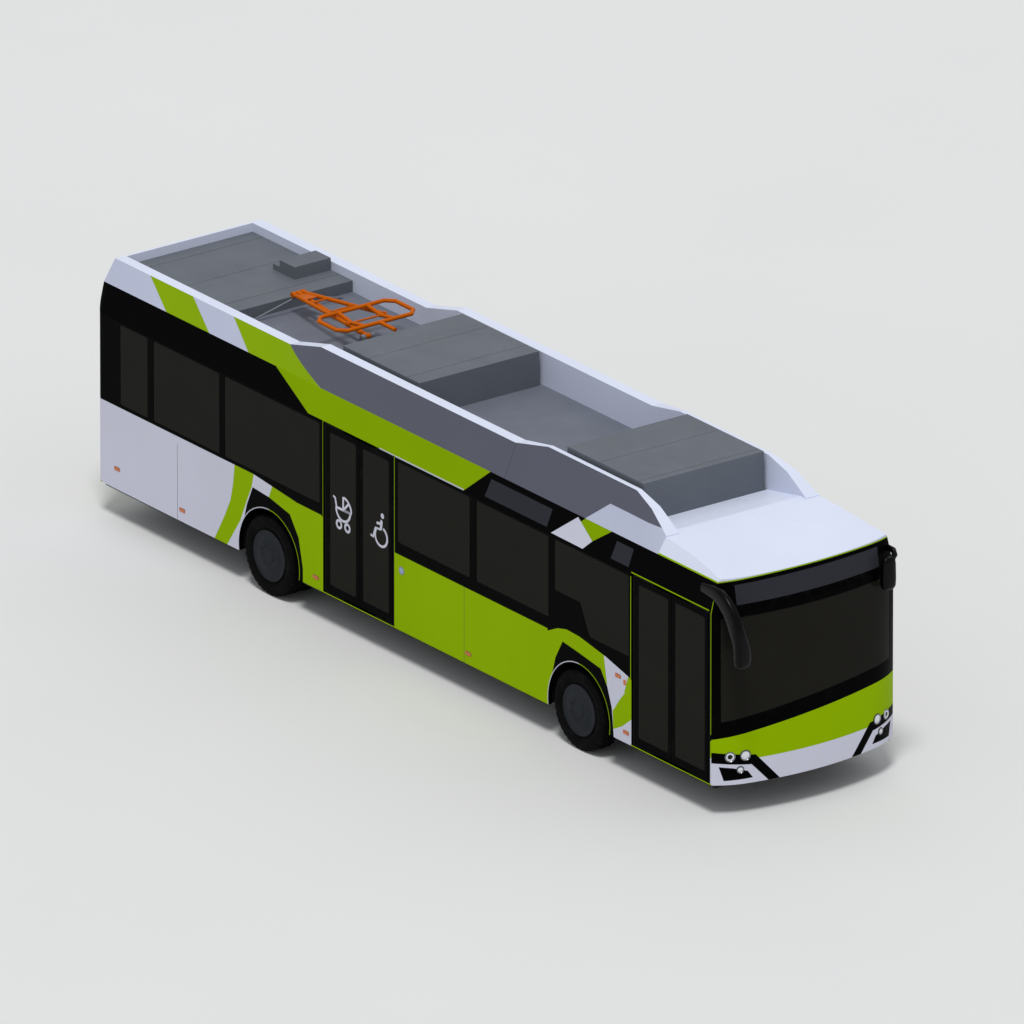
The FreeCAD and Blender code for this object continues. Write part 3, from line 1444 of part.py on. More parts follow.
def front_axle():
    """The dropped beam, its raised ends with kingpin eyes, and its air springs."""
    x = (FRONT_AXLE - mm.beam_half, FRONT_AXLE + mm.beam_half)
    top = mm.beam_low + mm.beam_height
    knee = half_less(mm.well_inner_front_inset) + mm.beam_height
    rise = mm.beam_height * NECK_SHARE
    neck = half_less(mm.kingpin_inset) - mm.fist_radius / 2
    throat = half_less(mm.kingpin_inset) - mm.fist_radius - mm.beam_half * THROAT_SHARE
    outline = prism("yz", [
        (0, mm.beam_low),
        (0, top),
        (knee, top),
        (neck - rise, FIST[1]),
        (neck, FIST[1]),
        (neck, FIST[0]),
        (throat, FIST[0]),
        (knee + rise, mm.beam_low),
    ], x)
    eye_end = rod("z", (FRONT_AXLE, half_less(mm.kingpin_inset)), FIST, mm.fist_radius)
    deep = (FIST[0] - mm.ear_high, FIST[1] + mm.ear_high)
    bore = rod("z", (FRONT_AXLE, half_less(mm.kingpin_inset)), deep, mm.kingpin_radius + mm.running_gap)
    half = cut(fuse(outline, eye_end), bore)
    return fuse(half, mirrored(half), *air_springs(FRONT_AXLE, half_less(mm.well_inner_front_inset), top))


def knuckle(side):
    """Kingpin, ears, web, wheel spindle and steering arm."""
    y = half_less(mm.kingpin_inset)
    low, high = FIST
    gap = mm.running_gap
    ear = mm.fist_radius
    ears = ((low - mm.ear_high, low - gap), (high + gap, high + mm.ear_high))
    web_y = (y + ear + mm.web_gap, y + ear + mm.web_gap + mm.web_thick)
    web_x = (FRONT_AXLE - ear, FRONT_AXLE + ear)
    arm_x = FRONT_AXLE - mm.steer_arm
    arm_half = mm.steer_arm_half
    arm_z = (STEER_PIN, STEER_PIN + mm.steer_arm_high)
    stub = mm.kingpin_radius * mm.steer_stub
    pieces = [
        rod("z", (FRONT_AXLE, y), (STEER_PIN, ears[1][1]), mm.kingpin_radius),
        box(web_x, web_y, (ears[0][0], ears[1][1])),
        rod("y", (FRONT_AXLE, mm.tyre_radius), (web_y[0], SPINDLE_END), mm.spindle_radius),
        box((arm_x, FRONT_AXLE), (y - arm_half, y + arm_half), arm_z),
        rod("z", (arm_x, y), arm_z, arm_half),
        rod("z", (FRONT_AXLE, y), (STEER_PIN, ears[0][0]), stub),
        rod("z", (arm_x, y), (STEER_PIN - mm.tie_pin_long, STEER_PIN), mm.tie_pin_radius),
    ]
    for levels in ears:
        pieces.append(rod("z", (FRONT_AXLE, y), levels, ear))
        pieces.append(box(web_x, (y, web_y[1]), levels))
    piece = fuse(*pieces)
    return piece if side == "left" else mirrored(piece)


TIE_NUT_SHARE = 0.4


def tie_rod():
    """The rod between the two steering arms, an eye at each end."""
    x = FRONT_AXLE - mm.steer_arm
    low = STEER_PIN - mm.tie_pin_long + mm.tie_pin_radius * TIE_NUT_SHARE
    high = STEER_PIN - mm.running_gap
    reach = half_less(mm.kingpin_inset)
    bar = rod("y", (x, (low + high) / 2), (-reach, reach), mm.tie_bar)
    eyes = []
    bores = []
    deep = (low - mm.tie_bar, high + mm.tie_bar)
    bore = mm.tie_pin_radius + mm.running_gap
    for side in (-1, 1):
        centre = (x, reach * side)
        eyes.append(rod("z", centre, (low, high), mm.tie_eye))
        bores.append(rod("z", centre, deep, bore))
    return cut(fuse(bar, *eyes), *bores)


DIFF_SHARE = 0.3
CASE_SWELL = 1.5


def rear_axle():
    """Portal axle: a dropped middle, gear cases up to the hubs, spindles and air springs."""
    top = mm.beam_low + mm.beam_height
    half = mm.beam_half * mm.spring_swell
    case = half_less(mm.well_inner_rear_inset) + mm.well_sheet
    inner_face = TYRE_MIDDLE - TWIN_STEP - mm.tyre_width / 2
    x = (REAR_AXLE - half, REAR_AXLE + half)
    pieces = [box(x, (-case, case), (mm.beam_low, top + mm.beam_height * DIFF_SHARE))]
    for side in (-1, 1):
        plate = ordered((case - mm.case_lap) * side, (inner_face - mm.case_step) * side)
        spindle = ordered((case - mm.case_lap) * side, SPINDLE_END * side)
        pieces.append(rod("y", (REAR_AXLE, mm.tyre_radius), plate, half * CASE_SWELL))
        pieces.append(box(x, plate, (mm.beam_low, mm.tyre_radius)))
        pieces.append(rod("y", (REAR_AXLE, mm.tyre_radius), spindle, mm.spindle_radius))
    return fuse(*pieces, *air_springs(REAR_AXLE, half_less(mm.well_inner_rear_inset), top))


def build():
    """Make every named piece."""
    node("chassis_floor", chassis_floor())
    for side in ("right", "left"):
        node("wall_" + side, wall(side))
        node("windows_" + side, window_panes(side))
    node("roof", roof())
    node("rear_wall", rear_wall())
    node("rear_glass", rear_glass())
    node("rear_hatch", rear_hatch())
    mask, frame, panes = nose_parts()
    node("nose_panel", mask)
    node("front_frame", frame)
    node("front_glass", panes)
    node("front_dome", front_dome())
    node("roof_fairing", roof_fairing())
    node("battery_packs", battery_packs())
    node("rear_roof_unit", rear_roof_unit())
    for door in DOORS:
        door_pair(door)
    node("panto_base", panto_base())
    node("panto_lower_arm", panto_lower_arm())
    node("panto_upper_arm", panto_upper_arm())
    node("panto_head", panto_head())
    node("lamps", lamps())
    node("mirrors", mirrors())
    node("seats", seats())
    node("handrails", handrails())
    node("driver_place", driver_place())
    node("drive_block", drive_block())
    node("front_axle", front_axle())
    node("rear_axle", rear_axle())
    node("tie_rod", tie_rod())
    for side in ("right", "left"):
        node("knuckle_" + side, knuckle(side))
        for end, axle, reach in (
            ("front", FRONT_AXLE, mm.rim_face),
            ("rear", REAR_AXLE, TWIN_STEP + mm.rim_face),
        ):
            rings = [tyre(axle, TYRE_MIDDLE)]
            if end == "rear":
                rings.append(tyre(axle, TYRE_MIDDLE - TWIN_STEP))
            tyres = group(*rings)
            wheel = rim(axle, reach)
            if side == "left":
                tyres, wheel = mirrored(tyres), mirrored(wheel)
            node("tyre_%s_%s" % (end, side), tyres)
            node("rim_%s_%s" % (end, side), wheel)


def check_and_write():
    """Stop on any failed object, then write each named piece."""
    doc.recompute()
    for thing in doc.Objects:
        if "Invalid" in thing.State or "Error" in thing.State:
            raise RuntimeError("failed object: %s (%s)" % (thing.Name, thing.Label))
    os.makedirs("parts", exist_ok=True)
    for thing in NODES:
        shape = thing.Shape
        if shape.isNull() or not shape.isValid() or not shape.Solids:
            raise RuntimeError("bad shape: " + thing.Label)
        shape.exportStep("parts/%s.step" % thing.Label)
        print("%-28s %2d solids" % (thing.Label, len(shape.Solids)))


build()
check_and_write()
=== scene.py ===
"""City bus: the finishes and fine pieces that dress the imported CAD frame, in metres."""

import math

import bmesh
import bpy
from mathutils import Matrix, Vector
from mathutils.bvhtree import BVHTree


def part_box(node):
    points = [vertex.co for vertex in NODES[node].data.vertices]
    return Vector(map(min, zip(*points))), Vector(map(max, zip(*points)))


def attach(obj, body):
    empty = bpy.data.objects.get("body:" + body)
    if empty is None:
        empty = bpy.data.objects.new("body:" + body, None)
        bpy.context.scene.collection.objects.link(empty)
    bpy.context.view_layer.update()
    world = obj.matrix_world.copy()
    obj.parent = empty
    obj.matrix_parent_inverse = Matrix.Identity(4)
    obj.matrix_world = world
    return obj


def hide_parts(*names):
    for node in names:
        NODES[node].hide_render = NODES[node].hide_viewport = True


bl_info = {
    "name": "City bus dressing",
    "version": (1, 0, 0),
    "blender": (4, 5, 0),
    "location": "View3D > Sidebar > City bus",
    "description": "Adds the paint, glass, tyres, trim and stage of the city bus to its CAD frame",
    "category": "Object",
}

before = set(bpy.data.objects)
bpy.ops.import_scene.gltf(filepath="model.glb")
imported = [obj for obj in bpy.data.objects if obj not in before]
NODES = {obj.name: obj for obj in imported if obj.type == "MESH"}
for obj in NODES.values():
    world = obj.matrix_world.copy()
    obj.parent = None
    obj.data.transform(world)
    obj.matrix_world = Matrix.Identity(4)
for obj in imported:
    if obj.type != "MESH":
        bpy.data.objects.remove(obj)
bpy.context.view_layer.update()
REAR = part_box("rear_wall")[0].x
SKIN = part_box("wall_left")[1].y
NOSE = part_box("nose_panel")[1].x
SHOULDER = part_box("wall_left")[1].z
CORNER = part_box("wall_left")[1].x
DOOR_PANES = [name for name in NODES if name.endswith("_glass") and "door" in name]
LEAVES = [name for name in NODES if name.endswith("_leaf")]
WHEELS = [(axle, side) for side in ("right", "left") for axle in ("front", "rear")]


def srgb(*values):
    """A linear colour from 0 to 255 display values."""
    shares = [value / 255 for value in values]
    return tuple(share / 12.92 if share <= 0.04045 else ((share + 0.055) / 1.055) ** 2.4 for share in shares)


def colour_of(title, words, value):
    """A colour that a user may change."""
    return bpy.props.FloatVectorProperty(
        name=title, description=words, subtype="COLOR", size=3, min=0, max=1, default=value
    )


def length_of(title, words, value):
    """A length that a user may change."""
    return bpy.props.FloatProperty(name=title, description=words, default=value, min=0, unit="LENGTH")


class BusColours(bpy.types.PropertyGroup):
    """The colours of the bus."""

    lime: colour_of("Lime", "Bright panels and stripes", srgb(146, 181, 0))
    white: colour_of("White", "White panels", srgb(208, 209, 224))
    black: colour_of("Black", "Window band, front mask and door frames", srgb(4, 4, 5))
    grey: colour_of("Fairing grey", "Dark middle of the roof fairing", srgb(92, 94, 106))
    glass: colour_of("Glass", "Tint of the windows", srgb(30, 29, 25))
    display: colour_of("Display", "Blank destination displays", srgb(50, 51, 57))
    pack: colour_of("Roof boxes", "Battery packs and rear unit", srgb(102, 107, 114))
    orange: colour_of("Pantograph", "Paint of the current collector", srgb(196, 94, 3))
    # Painted light: the dome colour is a brighter, sunlit copy of the white, for the roof cap and the tops and rims of
    # the fairing.
    dome: colour_of("Dome", "Cap behind the windscreen, in full daylight", srgb(219, 225, 242))
    # Painted shade: darker copies of the white and the lime, for the leaning faces of the roof fairing and the lime
    # high on the sides.
    shaded_fairing_white: colour_of("Fairing white", "White on the leaning faces of the roof fairing", srgb(186, 191, 211))
    shaded_lime: colour_of("Fairing lime", "Lime on the leaning faces of the roof fairing", srgb(134, 167, 0))
    cover: colour_of("Wheel covers", "Discs over the wheel nuts", srgb(38, 41, 45))
    fabric: colour_of("Seat fabric", "Woven seat covers", srgb(52, 74, 96))
    rail: colour_of("Handrails", "Powder-coated rails", srgb(206, 160, 22))
    amber: colour_of("Amber", "Side markers and turn lamps", srgb(205, 98, 20))
    red: colour_of("Red", "Tail and stop lamps", srgb(170, 14, 16))
    icon: colour_of("Door signs", "Line drawings on the middle door", srgb(205, 206, 220))


class BusTrim(bpy.types.PropertyGroup):
    """The small sizes that the dressing adds."""

    gasket: length_of("Window rubber", "Half width of the rubber round each pane", 0.004)
    seam: length_of("Panel seam", "Width of the joints between side panels", 0.006)
    tread_depth: length_of("Tread depth", "Depth of the tyre grooves", 0.011)
    cover_radius: length_of("Wheel cover", "Radius of the wheel covers", 0.303)
    icon_line: length_of("Door signs", "Half width of the lines of the door signs", 0.016)
    edge: length_of("Cover edge", "Rounded edges of the roof boxes and mirrors", 0.008)


class BusStage(bpy.types.PropertyGroup):
    """Floor, light and camera."""

    azimuth: bpy.props.FloatProperty(
        name="Azimuth", description="Camera angle round the bus", default=math.radians(53.46), unit="ROTATION"
    )
    elevation: bpy.props.FloatProperty(
        name="Elevation", description="Camera angle above the horizon", default=math.radians(21.45), unit="ROTATION"
    )
    lens: bpy.props.FloatProperty(
        name="Lens", description="Focal length in millimetres on a 36 mm sensor", default=1500, min=50
    )
    view_width: length_of("View width", "Width of the picture at the bus", 11.59)
    floor_radius: length_of("Floor", "Radius of the pale floor", 150)


class Finish:
    """A procedural material while its nodes are put together."""

    def __init__(self, name, metallic=0.0, coat=0.0, gleam=0.2):
        self.material = bpy.data.materials.new(name)
        self.material.use_nodes = True
        self.tree = self.material.node_tree
        self.shader = self.tree.nodes["Principled BSDF"]
        self.preset("Metallic", metallic)
        self.preset("Coat Weight", coat)
        self.preset("Coat Roughness", 0.08)
        self.preset("Specular IOR Level", gleam)
        where = self.tree.nodes.new("ShaderNodeTexCoord")
        self.place = where.outputs["Object"]
        self.facing = where.outputs["Normal"]

    def preset(self, name, value):
        """A plain value for an input of the shader."""
        self.shader.inputs[name].default_value = value

    def join(self, value, socket):
        """Links a socket, or writes a plain value into it."""
        if isinstance(value, bpy.types.NodeSocket):
            self.tree.links.new(value, socket)
        elif socket.type == "RGBA":
            socket.default_value = tuple(value)[:3] + (1.0,)
        else:
            socket.default_value = value

    def node(self, kind, *values, **settings):
        """A new node, with its settings and its first inputs filled in."""
        made = self.tree.nodes.new("ShaderNode" + kind)
        for key, value in settings.items():
            setattr(made, key, value)
        for value, socket in zip(values, made.inputs):
            self.join(value, socket)
        return made

    def math(self, operation, *values, clamp=False):
        return self.node("Math", *values, operation=operation, use_clamp=clamp).outputs[0]

    def times(self, first, second):
        return self.math("MULTIPLY", first, second)

    def plus(self, first, second):
        return self.math("ADD", first, second)

    def minus(self, first, second):
        return self.math("SUBTRACT", first, second)

    def above(self, value, limit):
        return self.math("GREATER_THAN", value, limit)

    def below(self, value, limit):
        return self.math("LESS_THAN", value, limit)

    def greatest(self, values):
        """The largest of several values."""
        most, *rest = values
        for value in rest:
            most = self.math("MAXIMUM", most, value)
        return most

    def dot(self, vector, constant):
        return self.node("VectorMath", vector, constant, operation="DOT_PRODUCT").outputs["Value"]

    def split(self, vector):
        return self.node("SeparateXYZ", vector).outputs

    def vector(self, x, y, z):
        return self.node("CombineXYZ", x, y, z).outputs[0]

    def mix(self, share, first, second):
        made = self.node("Mix", share, data_type="RGBA")
        self.join(first, made.inputs[6])
        self.join(second, made.inputs[7])
        return made.outputs[2]

    def spread(self, value, low, high, to_low=0.0, to_high=1.0):
        return self.node("MapRange", value, low, high, to_low, to_high).outputs[0]

    def noise(self, scale, detail):
        """Soft cloudy values from 0 to 1."""
        made = self.node("TexNoise", self.place)
        self.join(scale, made.inputs["Scale"])
        self.join(detail, made.inputs["Detail"])
        return made.outputs[0]

    def inside(self, flat, points):
        """1 inside a convex outline of points on the flat vector (across, 1, up), 0 outside."""
        edge = 0.004
        area = 0.0
        for (x1, z1), (x2, z2) in zip(points, points[1:] + points[:1]):
            area += x1 * z2 - x2 * z1
        ring = points if area > 0 else points[::-1]
        least = None
        for (x1, z1), (x2, z2) in zip(ring, ring[1:] + ring[:1]):
            size = math.hypot(x2 - x1, z2 - z1)
            nx, nz = -(z2 - z1) / size, (x2 - x1) / size
            depth = self.dot(flat, (nx, -(nx * x1 + nz * z1), nz))
            least = depth if least is None else self.math("MINIMUM", least, depth)
        return self.math("MULTIPLY_ADD", least, 1 / edge, 1.0, clamp=True)

    def away(self, flat, centre):
        """Distance from a point on the flat vector (across, 1, up)."""
        x, _, z = self.split(flat)
        away_x = self.minus(x, centre[0])
        away_z = self.minus(z, centre[1])
        return self.math("SQRT", self.plus(self.times(away_x, away_x), self.times(away_z, away_z)))

    def band(self, value, middle, half):
        """1 where the value lies within half of the middle."""
        off = self.math("ABSOLUTE", self.minus(value, middle))
        return self.below(off, half)

    def repeat(self, value, step):
        """Distance to the nearest whole multiple of a step."""
        near = self.times(self.math("ROUND", self.math("DIVIDE", value, step)), step)
        return self.math("ABSOLUTE", self.minus(value, near))

    def paint(self, colour, flat, layers):
        """Paints the outlines over a colour, in order."""
        for over, outlines in layers:
            for points in outlines:
                colour = self.mix(self.inside(flat, points), colour, over)
        return colour

    def worn(self, colour, amount, scale):
        """A colour with slow drifts and fine dirt in it."""
        drift = self.spread(self.noise(scale, 5.0), 0.3, 0.7, 1 - amount, 1 + amount)
        scaled = self.node("VectorMath", colour, operation="SCALE")
        self.join(drift, scaled.inputs["Scale"])
        return scaled.outputs[0]

    def rough(self, low, high, scale):
        """Roughness that drifts between two values."""
        value = self.spread(self.noise(scale, 6.0), 0.3, 0.7, low, high)
        self.join(value, self.shader.inputs["Roughness"])

    def bump(self, height, distance, strength):
        made = self.node("Bump", strength, distance)
        self.join(height, made.inputs["Height"])
        self.join(made.outputs[0], self.shader.inputs["Normal"])

    def done(self, colour):
        """The material, with the colour in its shader."""
        self.join(colour, self.shader.inputs["Base Color"])
        return self.material


def dress(names, material):
    """Gives CAD nodes their finish."""
    for name in names:
        target = NODES[name]
        target.data.materials.clear()
        target.data.materials.append(material)


def piece(name, form, material, body="root", degrees=35):
    """A finished object from a bmesh; it rides on a CAD body, and edges above the angle stay sharp."""
    bmesh.ops.recalc_face_normals(form, faces=form.faces)
    mesh = bpy.data.meshes.new(name)
    form.to_mesh(mesh)
    form.free()
    mesh.materials.append(material)
    mesh.polygons.foreach_set("use_smooth", [True] * len(mesh.polygons))
    mesh.set_sharp_from_angle(angle=math.radians(degrees))
    made = bpy.data.objects.new(name, mesh)
    bpy.context.scene.collection.objects.link(made)
    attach(made, body)
    return made


def skin(form, rings, closed=False, caps=(0, -1)):
    """Walls between rings of corners, and end faces on the capped rings unless they close up."""
    pairs = list(zip(rings, rings[1:]))
    if closed:
        pairs.append((rings[-1], rings[0]))
    for here, there in pairs:
        for side in range(len(here)):
            after = (side + 1) % len(here)
            form.faces.new((here[side], here[after], there[after], there[side]))
    for index in () if closed else caps:
        form.faces.new(rings[index])


def add_lathe(form, profile, place, axis=(0, 1, 0), steps=48, closed=False, wobble=None):
    """Turns a profile of (along the axis, radius) round the axis through the place."""
    turn = Vector((0, 1, 0)).rotation_difference(Vector(axis))
    slices = []
    for number in range(steps):
        angle = 2 * math.pi * number / steps
        corners = []
        for index, (along, radius) in enumerate(profile):
            if wobble:
                radius = wobble(number, index, radius)
            point = Vector((radius * math.sin(angle), along, radius * math.cos(angle)))
            corners.append(form.verts.new(turn @ point + Vector(place)))
        slices.append(corners)
    skin(form, list(zip(*slices)), closed)


def add_plate(form, outline, near, far):
    """A flat plate with the outline of (Y, Z) points, between two X values."""
    skin(form, [[form.verts.new((x, y, z)) for y, z in outline] for x in (near, far)])


def add_sheet(form, steps, place):
    """A square grid of faces over place(i, j), and its outer corners in order."""
    sheet = [[form.verts.new(place(i, j)) for j in range(steps + 1)] for i in range(steps + 1)]
    for i in range(steps):
        for j in range(steps):
            form.faces.new((sheet[i][j], sheet[i + 1][j], sheet[i + 1][j + 1], sheet[i][j + 1]))
    out, back = [row[0] for row in sheet], [row[steps] for row in sheet[-2::-1]]
    return out + sheet[steps][1:] + back + sheet[0][-2:0:-1]


def add_pad(form, corner, across, along, rise, thick, rounding=7, steps=12):
    """A crowned cushion on a four-sided base: a corner, two side vectors and the way it rises."""
    across, along, rise = Vector(across), Vector(along), Vector(rise).normalized()
    middle = Vector(corner) + (across + along) / 2

    def crown(i, j, deep):
        u, v = (math.sin((number / steps - 0.5) * math.pi) for number in (i, j))
        most = max(abs(u), abs(v))
        size = (abs(u) ** rounding + abs(v) ** rounding) ** (1 / rounding)
        scale = most / size if size else 1
        height = math.sqrt(max(0.0, 1 - most ** 5)) * (0.82 + 0.18 * (1 - u * u) * (1 - v * v))
        return middle + across * (u * scale / 2) + along * (v * scale / 2) + rise * (deep * height)

    rim, _ = [add_sheet(form, steps, lambda i, j: crown(i, j, deep)) for deep in (thick, -0.3 * thick)]
    return [vert.co.copy() for vert in rim]


def islands(node):
    """The separate solids of a node, each as a list of faces of one bmesh, in the same order every run."""
    form = bmesh.new()
    form.from_mesh(NODES[node].data)
    bmesh.ops.remove_doubles(form, verts=form.verts, dist=1e-5)
    found, seen = [], set()
    for first in form.faces:
        if first in seen:
            continue
        seen.add(first)
        faces = [first]
        for face in faces:
            for edge in face.edges:
                for other in edge.link_faces:
                    if other not in seen:
                        seen.add(other)
                        faces.append(other)
        found.append(faces)
    return form, found


def boxes_of(node):
    """Lowest and highest corner of each separate solid of a node."""
    form, solids = islands(node)
    boxes = []
    for faces in solids:
        places = [vert.co for face in faces for vert in face.verts]
        boxes.append([Vector([pick(place[i] for place in places) for i in range(3)]) for pick in (min, max)])
    form.free()
    return boxes


def face_loops(node, way):
    """Edge loops of a node's flat faces that look the given way, corner by corner."""
    form, solids = islands(node)
    way = Vector(way)
    loops = []
    for faces in solids:
        flat = [face for face in faces if face.normal.dot(way) > 0.95]
        rim = [edge for edge in dict.fromkeys(edge for face in flat for edge in face.edges)
               if sum(face in flat for face in edge.link_faces) == 1]
        around = {}
        for edge in rim:
            for vert in edge.verts:
                around.setdefault(vert, []).append(edge)
        first = rim[0].verts[0]
        loop, here, used = [], first, set()
        while True:
            loop.append(here.co.copy())
            step = [edge for edge in around[here] if edge not in used]
            if not step:
                break
            used.add(step[0])
            here = step[0].other_vert(here)
            if here == first:
                break
        kept = []
        for index, place in enumerate(loop):
            before, after = loop[index - 1], loop[(index + 1) % len(loop)]
            if (place - before).normalized().dot((after - place).normalized()) < 0.9999:
                kept.append(place)
        loops.append(kept)
    form.free()
    return loops


def soften(points, radius, steps=4):
    """A closed outline with its corners rounded."""
    made = []
    for index, corner in enumerate(points):
        before, after = points[index - 1], points[(index + 1) % len(points)]
        start = corner + (before - corner).normalized() * radius
        end = corner + (after - corner).normalized() * radius
        for step in range(steps + 1):
            share = step / steps
            made.append(start * (1 - share) ** 2 + corner * (2 * share * (1 - share)) + end * share ** 2)
    return made


def add_shell(form, corner, across, along, away, thick, steps=8):
    """A thin shell on a four-sided base, dished away from the sitter."""
    corner, across, along, away = Vector(corner), Vector(across), Vector(along), Vector(away).normalized()

    def dished(i, j, depth):
        u, v = i / steps, j / steps
        dish = 0.4 * thick * (1 - (2 * u - 1) ** 2) * (1 - (2 * v - 1) ** 2)
        return corner + across * u + along * v + away * (depth + dish)

    rims = [add_sheet(form, steps, lambda i, j: dished(i, j, depth)) for depth in (0.0, thick)]
    skin(form, rims, caps=())


def add_tube(form, points, radius, sides=10, closed=False):
    """A round bar along points, with its ends closed."""
    path = [Vector(point) for point in points]
    count = len(path)
    turns = [2 * math.pi * side / sides for side in range(sides)]
    rings = []
    up = Vector((0.123, 0.77, 0.61)).normalized()
    for index, point in enumerate(path):
        before = path[index - 1] if (index or closed) else point
        after = path[(index + 1) % count] if (index < count - 1 or closed) else point
        along = (after - before).normalized()
        across = along.cross(up)
        if across.length < 0.1:
            across = along.cross(Vector((1, 0, 0)))
        across.normalize()
        up = across.cross(along).normalized()
        rings.append([
            form.verts.new(point + across * (radius * math.cos(turn)) + up * (radius * math.sin(turn)))
            for turn in turns
        ])
    skin(form, rings, closed)


def add_sweep(form, stations, sides=28, power=2.8):
    """A form through stations: (centre, its run in the upright plane, half width across, half depth)."""
    rings = []
    for centre, run, half_y, half_deep in stations:
        ahead = Vector((0, 1, 0)).cross(Vector(run).normalized())
        ring = []
        for side in range(sides):
            turn = 2 * math.pi * side / sides
            across, deep = (
                math.copysign(abs(value) ** (2 / power), value) for value in (math.cos(turn), math.sin(turn))
            )
            ring.append(form.verts.new(Vector(centre) + Vector((0, across * half_y, 0)) + ahead * (deep * half_deep)))
        rings.append(ring)
    skin(form, rings)


def arc(centre, radius, start, end, steps=20):
    """Points of a flat arc, from one angle in degrees to another."""
    turns = [math.radians(start + (end - start) * step / steps) for step in range(steps + 1)]
    return [(centre[0] + radius * math.cos(turn), centre[1] + radius * math.sin(turn)) for turn in turns]


def rounded(low, high, radius, steps=4):
    """Corner points of an upright rounded rectangle, as (across, up) pairs."""
    left, right = low[0] + radius, high[0] - radius
    under, over = low[1] + radius, high[1] - radius
    corners = enumerate([(right, over), (left, over), (left, under), (right, under)])
    return [point for number, corner in corners for point in arc(corner, radius, 90 * number, 90 * number + 90, steps)]


def upright(x_low, x_high, low, high):
    """The four corners of an upright rectangle."""
    return [(x_low, low), (x_high, low), (x_high, high), (x_low, high)]


# Livery. Places are (metres ahead of the rear face, metres above the road).
BELT = 1.408
BELT_LOW = 1.308
BAND_TOP = 2.84

LIME_SIDE = [
    [(2.24, 0.38), (2.48, 0.38), (2.74, 0.765), (2.44, 0.725)],
    [(2.44, 0.725), (2.74, 0.765), (2.865, 1.045), (2.55, 0.945)],
    [(2.55, 0.945), (2.865, 1.045), (2.96, 1.245), (2.60, 1.145)],
    [(2.60, 1.145), (2.96, 1.245), (3.0, 1.42), (2.635, 1.42)],
    [(2.69, 0.38), (2.80, 0.38), (2.80, 0.46)],
    [(3.377, 1.42), (3.29, 1.215), (3.2, 0.38), (5.0, 0.38), (5.0, 1.42)],
    [(4.9, 0.38), (9.84, 0.38), (9.72, 1.0), (9.73, 1.42), (4.9, 1.42)],
    [(10.05, 1.0), (10.12, 1.2), (11.8, 1.2), (11.8, 0.72), (10.2, 0.72)],
    [(10.05, 1.0), (10.2, 0.72), (10.0, 0.565), (9.83, 0.72), (9.95, 0.86)],
    [(9.83, 0.72), (10.0, 0.565), (9.84, 0.485)],
]
BLACK_SIDE = [
    [(x1, z1), (x2, z2), (x2, BAND_TOP), (x1, BAND_TOP)]
    for x1, z1, x2, z2 in (
        (-0.1, BELT, 2.95, BELT), (2.94, BELT, 3.0, BELT), (2.99, BELT, 3.85, 1.32), (3.8, 1.322, 4.4, 1.318),
        (4.3, BELT_LOW, 8.66, BELT_LOW), (8.6, 1.28, 8.8, 1.375), (8.79, 1.37, 8.96, BELT),
        (8.95, BELT, 9.2, 1.398), (9.19, 1.40, 9.73, BELT_LOW), (9.72, BELT_LOW, 10.19, 1.19),
        (10.15, 1.19, 11.8, 0.90),
    )
] + [
    [(2.77, 0.37), (2.78, 0.70), (2.87, 1.0), (2.98, 1.24), (3.3, 1.215), (3.69, 1.135), (3.86, 0.9),
     (3.94, 0.55), (3.94, 0.37)],
    [(8.635, 0.37), (8.68, 0.75), (8.75, 1.0), (8.885, 1.235), (9.2, 1.195), (9.6, 1.135), (9.73, 0.95),
     (9.81, 0.73), (9.85, 0.37)],
]
# High lime on the sides, painted in the shaded copy of the lime.
LIME_HIGH = [
    [(3.33, BAND_TOP), (3.33, 2.80), (4.04, 2.477), (7.01, 2.477), (7.40, 2.80), (7.40, BAND_TOP)],
    [(9.07, 2.78), (9.2, 2.80), (9.25, BAND_TOP), (9.72, BAND_TOP), (9.69, 2.80), (9.39, 2.60)],
]
DOOR_LINES = [
    upright(4.325, 4.336, 1.3, 2.49),
    upright(5.685, 5.696, 1.3, 2.49),
    upright(10.162, 10.170, 1.19, 2.43),
    upright(10.17, 11.62, 2.476, 2.484),
    upright(11.666, 11.673, 1.0, 2.6),
    upright(10.17, 11.7, 0.37, 0.402),
]
WHITE_HIGH = [[(8.66, 2.48), (9.07, 2.78), (9.39, 2.60), (9.25, 2.475)]]
SILVER_HIGH = [upright(5.40, 7.0, 2.470, 2.481)]
DISPLAYS = [
    [(7.39, 2.52), (8.56, 2.52), (8.60, 2.73), (7.45, 2.73)],
    [(9.77, 2.52), (10.10, 2.52), (10.13, 2.73), (9.82, 2.73)],
]
# Outlines on the leaning faces of the roof fairing; its lime and white there are painted in shaded copies of those
# colours.
LIME_FAIRING = [
    [(1.22, 2.80), (2.04, 2.80), (1.48, 3.06), (0.66, 3.06)],
    [(2.80, 2.80), (4.20, 2.79), (3.38, 3.06), (2.27, 3.06)],
]
GREY_FAIRING = [[(4.22, 2.79), (3.38, 3.05), (3.3, 3.4), (10.8, 3.4), (10.8, 2.79)]]
WHITE_FAIRING = [[(9.18, 2.79), (9.51, 3.05), (10.9, 3.05), (10.9, 2.79)]]

